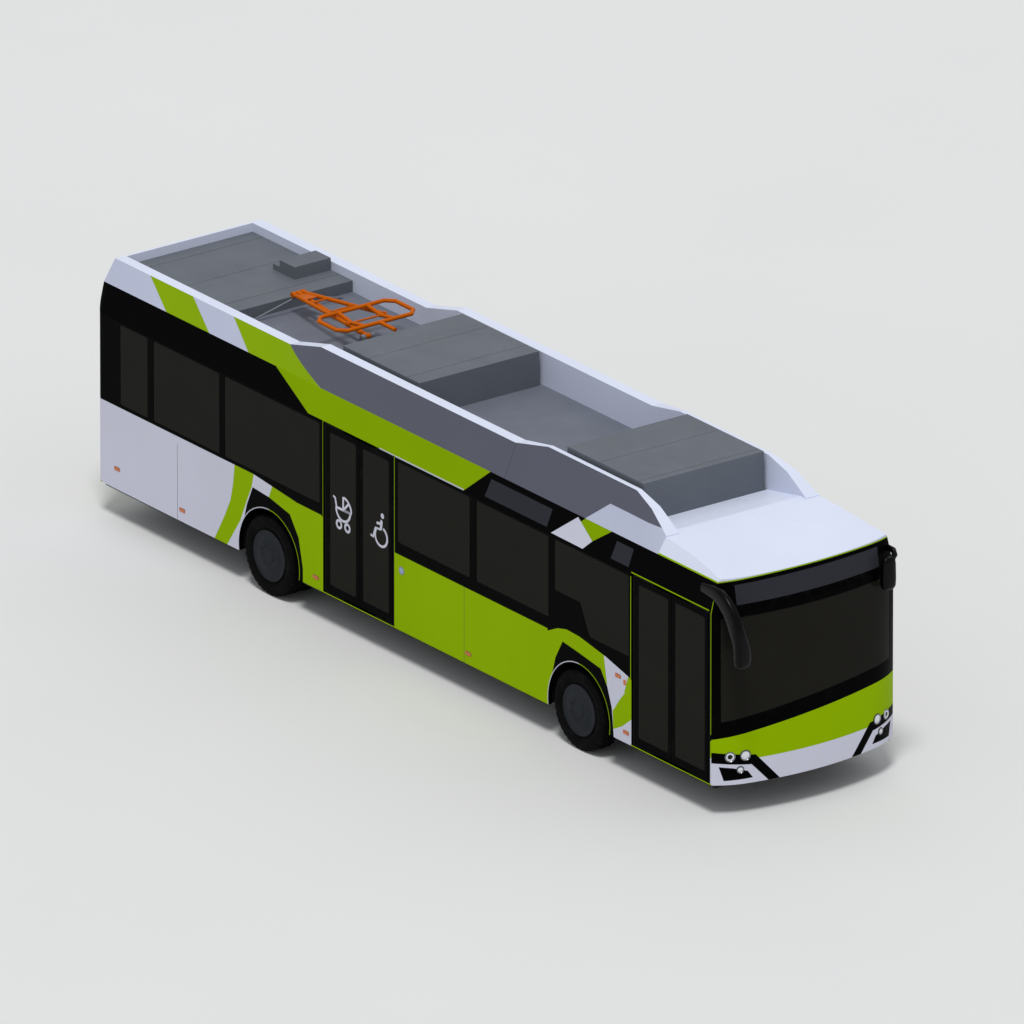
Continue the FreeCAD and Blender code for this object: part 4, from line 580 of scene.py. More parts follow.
# Other places and small sizes, in metres.
ARCHES = (3.29, 9.19)
ARCH_RADIUS, ARCH_LIP = 0.58, 0.006
AXLE_HEIGHT = 0.479
SIGN_LOW = 2.5
EDGE_ON = 0.4
FAIRING_OUT = 0.3
DOME_LIP = 0.016
GRILLE = upright(-0.78, 0.78, 0.66, 1.18)
LOUVRE_STEP, LOUVRE_HALF = 0.052, 0.013
BOLT_ROW, BOLT_STEP, BOLT_RADIUS = 0.045, 0.21, 0.011
INSULATOR_OUT = 0.35
PIN_CAP_OUT = 0.092
FLOOR_DROP = 0.002
LAMP_DEPTH = 0.1
RING_LAMP_FROM = 1.05
REPEATER = rounded((3.952, 1.085), (4.002, 1.145), 0.012)
REPEATER_THICK = 0.005
BUTTON = (5.83, 1.124)
FLECK = srgb(120, 150, 40)
LOOK_AT = (0.088, 0.029, 1.640)
NOSE_LIME = 0.675
REPEATER_SUNK = 0.0015
BASE_PIN_HEIGHT = 2.935
KNEE_PIN = (2.12, 3.042)
HEAD_PIN = (3.425, 3.135)
PANEL_SEAMS = (1.527, 7.02)
FAIRING_SEAM = 7.67
LID_STEP = 0.73
TAIL_TURN = 0.865
DRIVER_WIDE = 0.48


def arch_lips(finish, flat):
    """Thin lines round the wheel arches: how much line there is, and 1 on its front half."""
    x = finish.split(flat)[0]
    rings, fronts = [], []
    for place in ARCHES:
        rings.append(finish.band(finish.away(flat, (place, AXLE_HEIGHT)), ARCH_RADIUS + ARCH_LIP, ARCH_LIP))
        fronts.append(finish.times(finish.above(x, place), finish.band(x, place, 0.8)))
    return finish.greatest(rings), finish.greatest(fronts)


def from_rear(finish):
    """The flat vector (metres ahead of the rear face, 1, metres up) of the sides."""
    x, _, z = finish.split(finish.place)
    return finish.vector(finish.plus(x, -REAR), 1.0, z)


def outward(finish):
    """Above 0 where a side face looks away from the middle of the bus."""
    return finish.times(finish.split(finish.facing)[1], finish.split(finish.place)[1])


def upward(finish):
    """1 on the faces that look up."""
    return finish.above(finish.split(finish.facing)[2], 0.7)


def seam_lines(finish, flat, places, width):
    """1 along upright joints."""
    x = finish.split(flat)[0]
    return finish.greatest([finish.band(x, place, width / 2) for place in places])


def gloss_paint(finish, colour, seams=None, peel=0.00012):
    """Body paint: drifting gloss, a little orange peel, and sunk seams."""
    finish.rough(0.26, 0.4, 2.2)
    height = finish.noise(70.0, 2.0)
    if seams is not None:
        height = finish.minus(height, finish.times(seams, 8.0))
    finish.bump(height, peel, 0.35)
    if seams is not None:
        colour = finish.mix(seams, colour, srgb(60, 60, 62))
    return finish.done(finish.worn(colour, 0.025, 0.9))


def side_paint(colours, trim):
    """The livery of the body sides, with a plain lining on the faces inside; the high lime is a darker, shaded copy of
    the lime, and the cut edges of the openings are painted black as shade.
    """
    finish = Finish("side_paint", gleam=0.012)
    flat = from_rear(finish)
    lime, black = colours.lime, colours.black
    layers = [
        (lime, LIME_SIDE),
        (black, BLACK_SIDE),
        # Painted shade: the high lime takes the shaded copy of the lime.
        (colours.shaded_lime, LIME_HIGH),
        (colours.white, WHITE_HIGH),
        (srgb(190, 192, 198), SILVER_HIGH),
        (colours.display, DISPLAYS),
    ]
    colour = finish.paint(colours.white, flat, layers)
    door_side = finish.below(finish.split(finish.place)[1], 0.0)
    colour = finish.mix(door_side, colour, finish.paint(colour, flat, [(lime, DOOR_LINES)]))
    lips, front = arch_lips(finish, flat)
    lip_colour = finish.mix(front, colours.white, lime)
    colour = finish.mix(finish.times(lips, 0.8), colour, lip_colour)
    below = finish.below(finish.split(flat)[2], BELT_LOW)
    seams = finish.times(seam_lines(finish, flat, PANEL_SEAMS, trim.seam), below)
    # Painted shade: the faces across the wall, at the cut edges of windows, doors and arches, are painted black.
    edge = finish.band(outward(finish), 0.0, EDGE_ON)
    colour = finish.mix(edge, colour, black)
    lining = finish.below(outward(finish), -EDGE_ON)
    colour = finish.mix(lining, colour, srgb(196, 198, 200))
    return gloss_paint(finish, colour, seams)


def fairing_paint(colours, trim):
    """Painted light and shade: white rims and insides in the sunlit copy of the white; striped and grey outsides,
    whose white and lime are shaded copies.
    """
    finish = Finish("fairing_paint", coat=0.04, gleam=0.06)
    flat = from_rear(finish)
    # rim is the sunlit copy of the white, white the shaded copy.
    rim, white = colours.dome, colours.shaded_fairing_white
    layers = [(colours.shaded_lime, LIME_FAIRING), (colours.grey, GREY_FAIRING), (white, WHITE_FAIRING)]
    outside = finish.paint(white, flat, layers)
    # The faces that lean outward take the shaded colours; the rest take the sunlit white.
    side = finish.above(outward(finish), FAIRING_OUT)
    seams = finish.times(seam_lines(finish, flat, (FAIRING_SEAM,), trim.seam), side)
    colour = finish.mix(side, rim, outside)
    return gloss_paint(finish, colour, seams)


def nose_paint(colours):
    """Lime over white, with black lamp bands. Places are (metres from the middle, metres up)."""
    finish = Finish("nose_paint", gleam=0.015)
    _, y, z = finish.split(finish.place)
    flat = finish.vector(finish.math("ABSOLUTE", y), 1.0, z)
    layers = [
        (colours.lime, [upright(-2, 2, NOSE_LIME, 2)]),
        (colours.black, [
            [(1.29, 0.785), (0.80, 0.715), (0.86, 0.61), (1.29, 0.66)],
            [(0.82, 0.72), (0.80, 0.715), (0.50, 0.38), (0.64, 0.38), (0.86, 0.62)],
            [(1.205, 0.607), (1.066, 0.585), (0.90, 0.535), (0.84, 0.45), (1.158, 0.441)],
        ]),
    ]
    colour = finish.paint(colours.white, flat, layers)
    return gloss_paint(finish, colour)


def black_paint(colours):
    """Smooth black with faint dust."""
    finish = Finish("black_paint", gleam=0.012)
    finish.rough(0.22, 0.38, 1.6)
    finish.bump(finish.noise(260.0, 2.0), 0.0001, 0.3)
    dust = finish.spread(finish.noise(6.0, 8.0), 0.55, 0.8, 0.0, 0.012)
    return finish.done(finish.mix(dust, colours.black, srgb(150, 146, 138)))


def tail_paint(colours):
    """The rear face: white below with louvres, black round the rear window, one lime sweep."""
    finish = Finish("tail_paint", gleam=0.02)
    _, y, z = finish.split(finish.place)
    flat = finish.vector(y, 1.0, z)
    layers = [
        (colours.lime, [[(-1.3, 0.38), (-0.2, 0.38), (0.75, 1.42), (-0.35, 1.42)]]),
        (colours.black, [upright(-1.4, 1.4, BELT, BAND_TOP)]),
    ]
    colour = finish.paint(colours.white, flat, layers)
    slot = finish.below(finish.repeat(z, LOUVRE_STEP), LOUVRE_HALF)
    louvres = finish.times(finish.inside(flat, GRILLE), slot)
    colour = finish.mix(louvres, colour, srgb(16, 16, 17))
    return gloss_paint(finish, colour, louvres, 0.0006)


def dome_paint(colours):
    """Cap in the brighter, sunlit copy of the white, which is painted light, with a thin lime line along its front lip
    and its sides.
    """
    finish = Finish("dome_paint", coat=0.03, gleam=0.06)
    lip = finish.below(finish.split(finish.place)[2], SHOULDER + DOME_LIP)
    return gloss_paint(finish, finish.mix(lip, colours.dome, colours.lime))


def tinted_glass(colours):
    """Dark safety glass that shows a little of the cabin; the front sign is a paler blank."""
    finish = Finish("tinted_glass", gleam=0.02)
    finish.preset("Transmission Weight", 0.05)
    finish.preset("IOR", 1.45)
    finish.rough(0.08, 0.14, 1.1)
    finish.bump(finish.noise(0.9, 1.0), 0.0015, 0.25)
    x, _, z = finish.split(finish.place)
    ahead = finish.above(x, CORNER)
    sign = finish.times(ahead, finish.above(z, SIGN_LOW))
    haze = finish.spread(finish.noise(2.2, 4.0), 0.35, 0.75, 0.0, 0.02)
    colour = finish.mix(haze, colours.glass, srgb(70, 70, 66))
    return finish.done(finish.mix(sign, colour, colours.display))


def plain_paint(name, colour, low, high, metallic=0.0, grain=90.0, depth=0.0002, gleam=0.2):
    """A satin finish with drift in its colour and gloss."""
    finish = Finish(name, metallic=metallic, gleam=gleam)
    finish.rough(low, high, 4.0)
    finish.bump(finish.noise(grain, 3.0), depth, 0.5)
    return finish.done(finish.worn(tuple(colour), 0.05, 2.5))


def cover_paint(colours):
    """Roof boxes: satin grey with lid joints, and bolt heads along them."""
    finish = Finish("cover_paint", gleam=0.15)
    x, y, _ = finish.split(finish.place)
    up = upward(finish)
    joint = finish.below(finish.repeat(x, LID_STEP), 0.004)
    beside = finish.repeat(finish.plus(x, BOLT_ROW), LID_STEP)
    row = finish.repeat(y, BOLT_STEP)
    square = finish.plus(finish.times(beside, beside), finish.times(row, row))
    bolt = finish.below(square, BOLT_RADIUS ** 2)
    joint, bolt = finish.times(joint, up), finish.times(bolt, up)
    height = finish.minus(finish.times(bolt, 0.8), joint)
    finish.bump(height, 0.002, 0.7)
    finish.rough(0.5, 0.68, 3.0)
    colour = finish.mix(joint, colours.pack, srgb(58, 60, 64))
    colour = finish.mix(finish.times(bolt, 0.35), colour, srgb(140, 143, 148))
    return finish.done(finish.worn(colour, 0.05, 2.0))


def floor_finish():
    """Speckled grey floor covering, and dark steel on the faces that don't look up."""
    finish = Finish("floor_covering")
    speck = finish.spread(finish.noise(900.0, 1.0), 0.62, 0.68)
    top = finish.mix(speck, srgb(92, 94, 98), srgb(150, 152, 156))
    up = upward(finish)
    finish.rough(0.5, 0.75, 6.0)
    finish.bump(finish.noise(300.0, 2.0), 0.0003, 0.6)
    return finish.done(finish.worn(finish.mix(up, srgb(28, 29, 31), top), 0.08, 3.0))


def fabric_finish(colours):
    """Woven seat cloth with a fine cross weave."""
    finish = Finish("seat_weave")
    finish.preset("Sheen Weight", 0.3)
    x, y, z = finish.split(finish.place)
    warp = finish.math("SINE", finish.times(finish.plus(x, z), 1500.0))
    weft = finish.math("SINE", finish.times(y, 1500.0))
    weave = finish.times(warp, weft)
    fleck = finish.spread(finish.noise(160.0, 2.0), 0.6, 0.64)
    colour = finish.mix(fleck, colours.fabric, FLECK)
    finish.rough(0.75, 0.9, 20.0)
    finish.bump(weave, 0.0006, 0.6)
    return finish.done(finish.worn(colour, 0.1, 9.0))


def rubber(name, colour):
    """Matt rubber with a dusty bloom."""
    finish = Finish(name, gleam=0.04)
    finish.rough(0.65, 0.85, 12.0)
    finish.bump(finish.noise(420.0, 3.0), 0.0003, 0.5)
    bloom = finish.spread(finish.noise(7.0, 6.0), 0.5, 0.8, 0.0, 0.05)
    return finish.done(finish.mix(bloom, srgb(*colour), srgb(96, 92, 86)))


def fluted(name, colour_at, low, high):
    """A ribbed lamp lens whose colour comes from colour_at(finish, its three coordinates)."""
    finish = Finish(name, coat=0.4, gleam=0.4)
    place = finish.split(finish.place)
    colour = colour_at(finish, place)
    flutes = finish.math("SINE", finish.times(finish.plus(place[0], place[1]), 900.0))
    finish.rough(low, high, 5.0)
    finish.bump(flutes, 0.0008, 0.5)
    return finish.done(finish.worn(colour, 0.05, 30.0))


def lens_finish(name, colour):
    """A lens of one colour."""
    return fluted(name, lambda finish, place: colour, 0.12, 0.2)


def lamp_finish(colours):
    """Clear lenses in front, red and amber ones behind, amber ones along the sides."""

    def by_place(finish, place):
        x, _, z = place
        colour = finish.mix(finish.band(z, TAIL_TURN, 0.07), colours.red, colours.amber)
        colour = finish.mix(finish.below(x, REAR + LAMP_DEPTH), colours.amber, colour)
        return finish.mix(finish.above(x, CORNER), colour, srgb(176, 182, 190))

    return fluted("lamp_lenses", by_place, 0.14, 0.24)


class BUS_OT_body_paint(bpy.types.Operator):
    """Paint the sides, nose, tail, roof cap and fairings in the livery"""

    bl_idname = "bus.body_paint"
    bl_label = "Body paint"

    def execute(self, context):
        colours, trim = context.scene.bus_colours, context.scene.bus_trim
        dress(["wall_right", "wall_left"], side_paint(colours, trim))
        dress(["roof_fairing"], fairing_paint(colours, trim))
        dress(["nose_panel"], nose_paint(colours))
        dress(["rear_wall", "rear_hatch"], tail_paint(colours))
        dress(["front_dome"], dome_paint(colours))
        dress(["front_frame"] + LEAVES, black_paint(colours))
        return {"FINISHED"}


class BUS_OT_glass(bpy.types.Operator):
    """Tint every pane"""

    bl_idname = "bus.glass"
    bl_label = "Glass"

    def execute(self, context):
        panes = ["windows_right", "windows_left", "rear_glass", "front_glass"]
        dress(panes + DOOR_PANES, tinted_glass(context.scene.bus_colours))
        return {"FINISHED"}


class BUS_OT_roof_finish(bpy.types.Operator):
    """Finish the roof skin, the battery packs, the rear unit and the pantograph"""

    bl_idname = "bus.roof_finish"
    bl_label = "Roof finish"

    def execute(self, context):
        colours, trim = context.scene.bus_colours, context.scene.bus_trim
        dress(["battery_packs", "rear_roof_unit"], cover_paint(colours))
        for name in ("battery_packs", "rear_roof_unit"):
            rounding = NODES[name].modifiers.new("edges", "BEVEL")
            rounding.width = trim.edge
            rounding.segments = 2
            rounding.limit_method = "ANGLE"
            rounding.angle_limit = math.radians(50)
            rounding.harden_normals = True
        arms = ["panto_lower_arm", "panto_upper_arm", "panto_head"]
        dress(["roof"], plain_paint("roof_membrane", srgb(110, 114, 125), 0.55, 0.75, gleam=0.15))
        dress(["panto_base"], plain_paint("panto_base_paint", srgb(124, 128, 136), 0.4, 0.6, 0.2))
        dress(arms, plain_paint("panto_paint", colours.orange, 0.4, 0.55, gleam=0.05))
        return {"FINISHED"}


class BUS_OT_cabin_finish(bpy.types.Operator):
    """Finish the floor, rails, driver's place and running gear"""

    bl_idname = "bus.cabin_finish"
    bl_label = "Cabin and running gear finish"

    def execute(self, context):
        colours = context.scene.bus_colours
        gear = ["front_axle", "rear_axle", "tie_rod", "knuckle_left", "knuckle_right"]
        rims = [name for name in NODES if name.startswith("rim_")]
        posts = [name for name in NODES if name.endswith("_post")]
        dress(["chassis_floor"], floor_finish())
        for names, *look in (
            (["handrails"], "rail_coat", colours.rail, 0.3, 0.45),
            (["driver_place"], "dash_plastic", srgb(48, 49, 52), 0.5, 0.7),
            (["drive_block"], "engine_lining", srgb(70, 72, 76), 0.5, 0.7),
            (gear, "chassis_steel", srgb(40, 41, 44), 0.45, 0.7, 0.6),
            (rims, "rim_steel", srgb(70, 71, 75), 0.4, 0.6, 0.5),
        ):
            dress(names, plain_paint(*look))
        dress(posts, plain_paint("door_steel", srgb(12, 12, 13), 0.35, 0.5, 0.2, gleam=0.05))
        dress(["lamps"], lamp_finish(colours))
        return {"FINISHED"}


class BUS_OT_tyres(bpy.types.Operator):
    """Replace the plain tyres by treaded ones"""

    bl_idname = "bus.tyres"
    bl_label = "Tyres"

    def tyre(self, centres, radius, half, bead, depth):
        """One wheel's treaded tyres, one at each centre."""
        form = bmesh.new()
        rib = half * 0.78
        groove = 0.007
        cuts = [-rib * 0.62, -rib * 0.21, rib * 0.21, rib * 0.62]
        profile = [
            (-half * 0.62, bead), (-half * 0.80, bead + 0.006), (-half * 0.84, bead + 0.03),
            (-half * 0.95, bead + 0.06), (-half, bead + 0.10), (-half * 0.99, radius - 0.06),
            (-half * 0.965, radius - 0.052), (-half * 0.96, radius - 0.040), (-half * 0.90, radius - 0.012),
            (-rib, radius - 0.001),
        ]
        kinds = ["wall"] * 8 + ["shoulder", "shoulder"]
        for cut in cuts:
            for off, drop in ((-groove, 0), (-groove * 0.7, depth), (groove * 0.7, depth), (groove, 0)):
                profile.append((cut + off, radius - drop))
                kinds.append("groove" if drop else "rib")
        profile += [(-y, r) for y, r in profile[:10][::-1]]
        kinds += kinds[:10][::-1]

        def wobble(number, index, value):
            kind = kinds[index]
            if kind == "shoulder" and number % 5 < 2:
                return value - depth * 0.8
            if kind == "rib" and number % 5 == 4:
                return value - depth * 0.35
            return value

        for centre in centres:
            add_lathe(form, profile, centre, steps=180, closed=True, wobble=wobble)
        return form

    def execute(self, context):
        depth = context.scene.bus_trim.tread_depth
        material = rubber("tyre_rubber", (11, 11, 12))
        for axle, side in WHEELS:
            node = f"tyre_{axle}_{side}"
            low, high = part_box(node)
            radius = (high.z - low.z) / 2
            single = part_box(f"tyre_front_{side}")
            width = single[1].y - single[0].y
            edges = [low.y + width / 2]
            if high.y - low.y > width * 1.5:
                edges.append(high.y - width / 2)
            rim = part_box(f"rim_{axle}_{side}")
            bead = (rim[1].z - rim[0].z) / 2 + 0.001
            centres = [((low.x + high.x) / 2, y, (low.z + high.z) / 2) for y in edges]
            tyre = self.tyre(centres, radius, width / 2, bead, depth)
            made = piece(f"tyre_tread_{axle}_{side}", tyre, material, f"wheel_{axle}_{side}", 28)
            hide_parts(node)
        return {"FINISHED"}


class BUS_OT_wheel_covers(bpy.types.Operator):
    """Add the dark discs over the wheel nuts"""

    bl_idname = "bus.wheel_covers"
    bl_label = "Wheel covers"

    def execute(self, context):
        colours, trim = context.scene.bus_colours, context.scene.bus_trim
        material = plain_paint("cover_plastic", colours.cover, 0.45, 0.6, gleam=0.06)
        reach = trim.cover_radius
        nut_ring = reach * 0.55
        for axle, side in WHEELS:
            sign = 1 if side == "left" else -1
            low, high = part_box(f"rim_{axle}_{side}")
            outer = max(abs(low.y), abs(high.y)) + 0.001
            centre = ((low.x + high.x) / 2, 0, (low.z + high.z) / 2)
            shape = [
                (outer, reach - 0.016), (outer + 0.010, reach), (outer + 0.014, reach - 0.006),
                (outer + 0.011, reach - 0.030), (outer + 0.010, reach * 0.70), (outer + 0.015, reach * 0.66),
                (outer + 0.015, reach * 0.44), (outer + 0.008, reach * 0.41), (outer + 0.008, reach * 0.30),
                (outer + 0.019, reach * 0.26), (outer + 0.021, reach * 0.08), (outer + 0.021, 0.0005),
            ]
            nut = [(outer + 0.014, 0.014), (outer + 0.020, 0.012), (outer + 0.021, 0.0005)]
            form = bmesh.new()
            add_lathe(form, [(y * sign, r) for y, r in shape], centre, steps=72)
            for number in range(10):
                turn = 2 * math.pi * number / 10
                spot = (centre[0] + nut_ring * math.sin(turn), 0, centre[2] + nut_ring * math.cos(turn))
                add_lathe(form, [(y * sign, r) for y, r in nut], spot, steps=12)
            piece(f"wheel_cover_{axle}_{side}", form, material, f"wheel_{axle}_{side}")
        return {"FINISHED"}


class BUS_OT_window_rubbers(bpy.types.Operator):
    """Lay a rubber round every flat pane"""

    bl_idname = "bus.window_rubbers"
    bl_label = "Window rubbers"

    def execute(self, context):
        gasket = context.scene.bus_trim.gasket
        material = rubber("gasket_rubber", (8, 8, 9))
        places = [("windows_right", (0, -1, 0), "root"), ("windows_left", (0, 1, 0), "root"),
                  ("rear_glass", (-1, 0, 0), "root")]
        places += [(name, (0, -1, 0), name.removesuffix("_glass")) for name in DOOR_PANES]
        for node, way, body in places:
            form = bmesh.new()
            inward = Vector(way) * (gasket * 0.4)
            for loop in face_loops(node, way):
                path = [place - inward for place in soften(loop, 0.03)]
                add_tube(form, path, gasket, 6, closed=True)
            piece(f"rubber_{node}", form, material, body)
        return {"FINISHED"}


class BUS_OT_lamp_trim(bpy.types.Operator):
    """Build the rings, discs and bezels of the lamps, the frames of the side markers, and the turn repeaters"""

    bl_idname = "bus.lamp_trim"
    bl_label = "Lamp trim"

    def execute(self, context):
        chrome = plain_paint("lamp_bezel", srgb(150, 152, 158), 0.18, 0.3, 0.9, gleam=0.4)
        pale = lens_finish("light_guide", srgb(226, 229, 234))
        dark = plain_paint("lamp_bowl", srgb(12, 12, 13), 0.2, 0.35, gleam=0.3)
        lenses = NODES["lamps"].data
        tree = BVHTree.FromPolygons([vert.co for vert in lenses.vertices], [face.vertices for face in lenses.polygons])
        rings, guides, bowls, frames = bmesh.new(), bmesh.new(), bmesh.new(), bmesh.new()
        for low, high in boxes_of("lamps"):
            middle, radius = (low + high) / 2, (high - low).z / 2
            if low.x > CORNER - 0.2:
                place, normal, _, _ = tree.ray_cast(Vector((NOSE + 1, middle.y, middle.z)), Vector((-1, 0, 0)))
                way = normal if normal.x > 0 else -normal
                bezel = [(-0.01, radius - 0.002), (0.004, radius), (0.008, radius + 0.004), (0.006, radius + 0.008),
                         (-0.006, radius + 0.010)]
                add_lathe(rings, bezel, place, way, closed=True)
                if abs(middle.y) > RING_LAMP_FROM:
                    ring = radius * 0.72
                    loop = [(0.004 + 0.006 * math.sin(turn), ring + 0.009 * math.cos(turn))
                            for turn in [math.pi * number / 4 for number in range(8)]]
                    add_lathe(guides, loop, place, way, closed=True)
                    bowl = [(0.0015, ring - 0.006), (0.004, ring - 0.012), (0.005, ring * 0.4), (0.009, ring * 0.2),
                            (0.010, 0.0004)]
                else:
                    dome = [(0.001, radius * 0.96), (0.004, radius * 0.9), (0.008, radius * 0.6),
                            (0.010, radius * 0.3), (0.0105, 0.0004)]
                    add_lathe(guides, dome, place, way)
                    bowl = [(-0.004, radius + 0.010), (0.0015, radius + 0.012), (-0.004, radius + 0.016)]
                add_lathe(bowls, bowl, place, way)
            elif low.x > REAR + LAMP_DEPTH:
                side = 1 if middle.y > 0 else -1
                y = side * (SKIN + 0.0005)
                outline = [Vector((x, y, z)) for x, z in rounded((low.x, low.z), (high.x, high.z), 0.012)]
                add_tube(frames, outline, 0.0032, 6, closed=True)
            else:
                bezel = [(-0.004, radius - 0.002), (-0.0005, radius), (-0.0005, radius + 0.005),
                         (-0.006, radius + 0.008)]
                add_lathe(rings, bezel, (low.x, middle.y, middle.z), (-1, 0, 0), closed=True)
        piece("lamp_bezels", rings, chrome)
        piece("light_guides", guides, pale)
        piece("lamp_bowls", bowls, dark)
        piece("marker_frames", frames, dark)
        lens = lens_finish("repeater_lens", context.scene.bus_colours.amber)
        depths = (SKIN - REPEATER_SUNK, SKIN - REPEATER_SUNK + REPEATER_THICK)
        for side, name in ((-1, "right"), (1, "left")):
            form = bmesh.new()
            skin(form, [[form.verts.new((x, side * y, z)) for x, z in REPEATER] for y in depths])
            piece(f"turn_repeater_{name}", form, lens, degrees=30)
        return {"FINISHED"}


# Stations of the mirror heads: centre, run, half width across, half depth.
RIGHT_MIRROR = [
    ((5.36, -1.205, 2.690), (1, 0, 0), 0.045, 0.058),
    ((5.58, -1.212, 2.695), (1, 0, -0.05), 0.050, 0.084),
    ((5.69, -1.214, 2.672), (0.93, 0, -0.36), 0.053, 0.097),
    ((5.78, -1.213, 2.618), (0.8, 0, -0.6), 0.056, 0.106),
    ((5.86, -1.210, 2.545), (0.66, 0, -0.75), 0.058, 0.110),
    ((5.915, -1.204, 2.460), (0.48, 0, -0.88), 0.062, 0.107),
    ((5.955, -1.195, 2.370), (0.3, 0, -0.95), 0.072, 0.098),
    ((5.984, -1.182, 2.280), (0.14, 0, -0.99), 0.084, 0.087),
    ((6.005, -1.162, 2.195), (0.04, 0, -1), 0.096, 0.072),
    ((6.010, -1.150, 2.100), (0, 0, -1), 0.105, 0.068),
    ((6.010, -1.147, 2.000), (0, 0, -1), 0.107, 0.066),
    ((6.010, -1.147, 1.945), (0, 0, -1), 0.101, 0.061),
    ((6.010, -1.147, 1.918), (0, 0, -1), 0.085, 0.050),
    ((6.010, -1.147, 1.905), (0, 0, -1), 0.050, 0.030),
]
LEFT_MIRROR = [
    ((5.805, 1.05, z), (0, 0, -1), half_y, half_deep)
    for z, half_y, half_deep in (
        (2.664, 0.040, 0.024), (2.655, 0.066, 0.038), (2.630, 0.083, 0.048), (2.580, 0.091, 0.053),
        (2.400, 0.095, 0.055), (2.320, 0.091, 0.053), (2.288, 0.074, 0.044), (2.275, 0.045, 0.026),
    )
]
# Mirror panes: middle across, place along, half width, lowest and highest point.
MIRROR_PANES = ((-1.147, 5.944, 0.084, 1.95, 2.20), (1.05, 5.750, 0.074, 2.31, 2.60))
LEFT_MIRROR_ARM = [(5.50, 1.20, 2.682), (5.70, 1.20, 2.678), (5.775, 1.16, 2.655), (5.805, 1.09, 2.610)]


class BUS_OT_mirrors(bpy.types.Operator):
    """Replace the plain mirrors by swept arms with two framed panes in the back of each head"""

    bl_idname = "bus.mirrors"
    bl_label = "Mirrors"

    def execute(self, context):
        silver = plain_paint("mirror_silver", srgb(200, 204, 210), 0.03, 0.07, 1.0, 3.0, 0.00005, gleam=0.5)
        plastic = plain_paint("mirror_plastic", srgb(3, 3, 3), 0.22, 0.36, gleam=0.12)
        frame_black = rubber("mirror_frame", (10, 10, 11))
        housings, panes, rims = bmesh.new(), bmesh.new(), bmesh.new()
        add_sweep(housings, RIGHT_MIRROR)
        add_sweep(housings, LEFT_MIRROR)
        add_tube(housings, LEFT_MIRROR_ARM, 0.034, 16)
        for middle, x, half, low, high in MIRROR_PANES:
            split = low + (high - low) * 0.34
            for bottom, top in ((low, split - 0.008), (split + 0.008, high)):
                outline = rounded((middle - half, bottom), (middle + half, top), 0.025)
                add_plate(rims, outline, x + 0.0005, x + 0.040)
                inner = rounded((middle - half + 0.004, bottom + 0.004), (middle + half - 0.004, top - 0.004), 0.022)
                add_plate(panes, inner, x - 0.001, x + 0.002)
                add_tube(rims, [(x, y, z) for y, z in outline], 0.004, 8, closed=True)
        made = piece("mirror_housings", housings, plastic, degrees=50)
        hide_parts("mirrors")
        piece("mirror_panes", panes, silver, degrees=20)
        piece("mirror_rims", rims, frame_black)
        return {"FINISHED"}


class BUS_OT_door_signs(bpy.types.Operator):
    """Draw the pram and the wheelchair on the middle door, and set the round button beside it"""

    bl_idname = "bus.door_signs"
    bl_label = "Door signs"

    def execute(self, context):
        colours, trim = context.scene.bus_colours, context.scene.bus_trim
        ink = plain_paint("sign_ink", colours.icon, 0.5, 0.6)
        half = trim.icon_line

        pram = [
            arc((4.70, 1.50), 0.135, 180, 360) + [(4.565, 1.50)],
            [(4.70, 1.50)] + arc((4.70, 1.50), 0.155, 90, 0, 10) + [(4.70, 1.50)],
            [(4.70, 1.50), (4.81, 1.61)],
            [(4.575, 1.50), (4.545, 1.61), (4.51, 1.615)],
            arc((4.62, 1.305), 0.045, 0, 360), arc((4.78, 1.305), 0.045, 0, 360),
        ]
        chair = [
            arc((5.425, 1.405), 0.115, 70, -215, 28),
            [(5.43, 1.61), (5.41, 1.49), (5.32, 1.485), (5.27, 1.36), (5.225, 1.375)],
            [(5.44, 1.60), (5.425, 1.49)],
            [(5.43, 1.565), (5.34, 1.55)],
            arc((5.45, 1.665), 0.018, 0, 360, 8), arc((5.45, 1.665), 0.007, 0, 360, 8),
        ]
        for body, strokes in (("mid_door_rear", pram), ("mid_door_front", chair)):
            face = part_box(f"{body}_glass")[0].y - 0.0006
            form = bmesh.new()
            for stroke in strokes:
                add_tube(form, [(REAR + x, face, z) for x, z in stroke], half, 8)
            for vert in form.verts:
                vert.co.y = face + (vert.co.y - face) * 0.05
            piece(f"{body}_sign", form, ink, body)
        bright = plain_paint("button_ring_paint", srgb(150, 152, 158), 0.25, 0.4, 0.7)
        blue = plain_paint("button_blue", srgb(150, 170, 205), 0.3, 0.45)
        ring = [(0.002, 0.05), (0.0032, 0.047), (0.0032, 0.041), (0.001, 0.038)]
        cap = [(-0.001, 0.038), (0.0024, 0.036), (0.003, 0.02), (0.0032, 0.0004)]
        for name, profile, paint in (("button_ring", ring, bright), ("button", cap, blue)):
            form = bmesh.new()
            add_lathe(form, profile, (REAR + BUTTON[0], -SKIN, BUTTON[1]), (0, -1, 0), 40, closed=profile is ring)
            piece(name, form, paint)
        return {"FINISHED"}


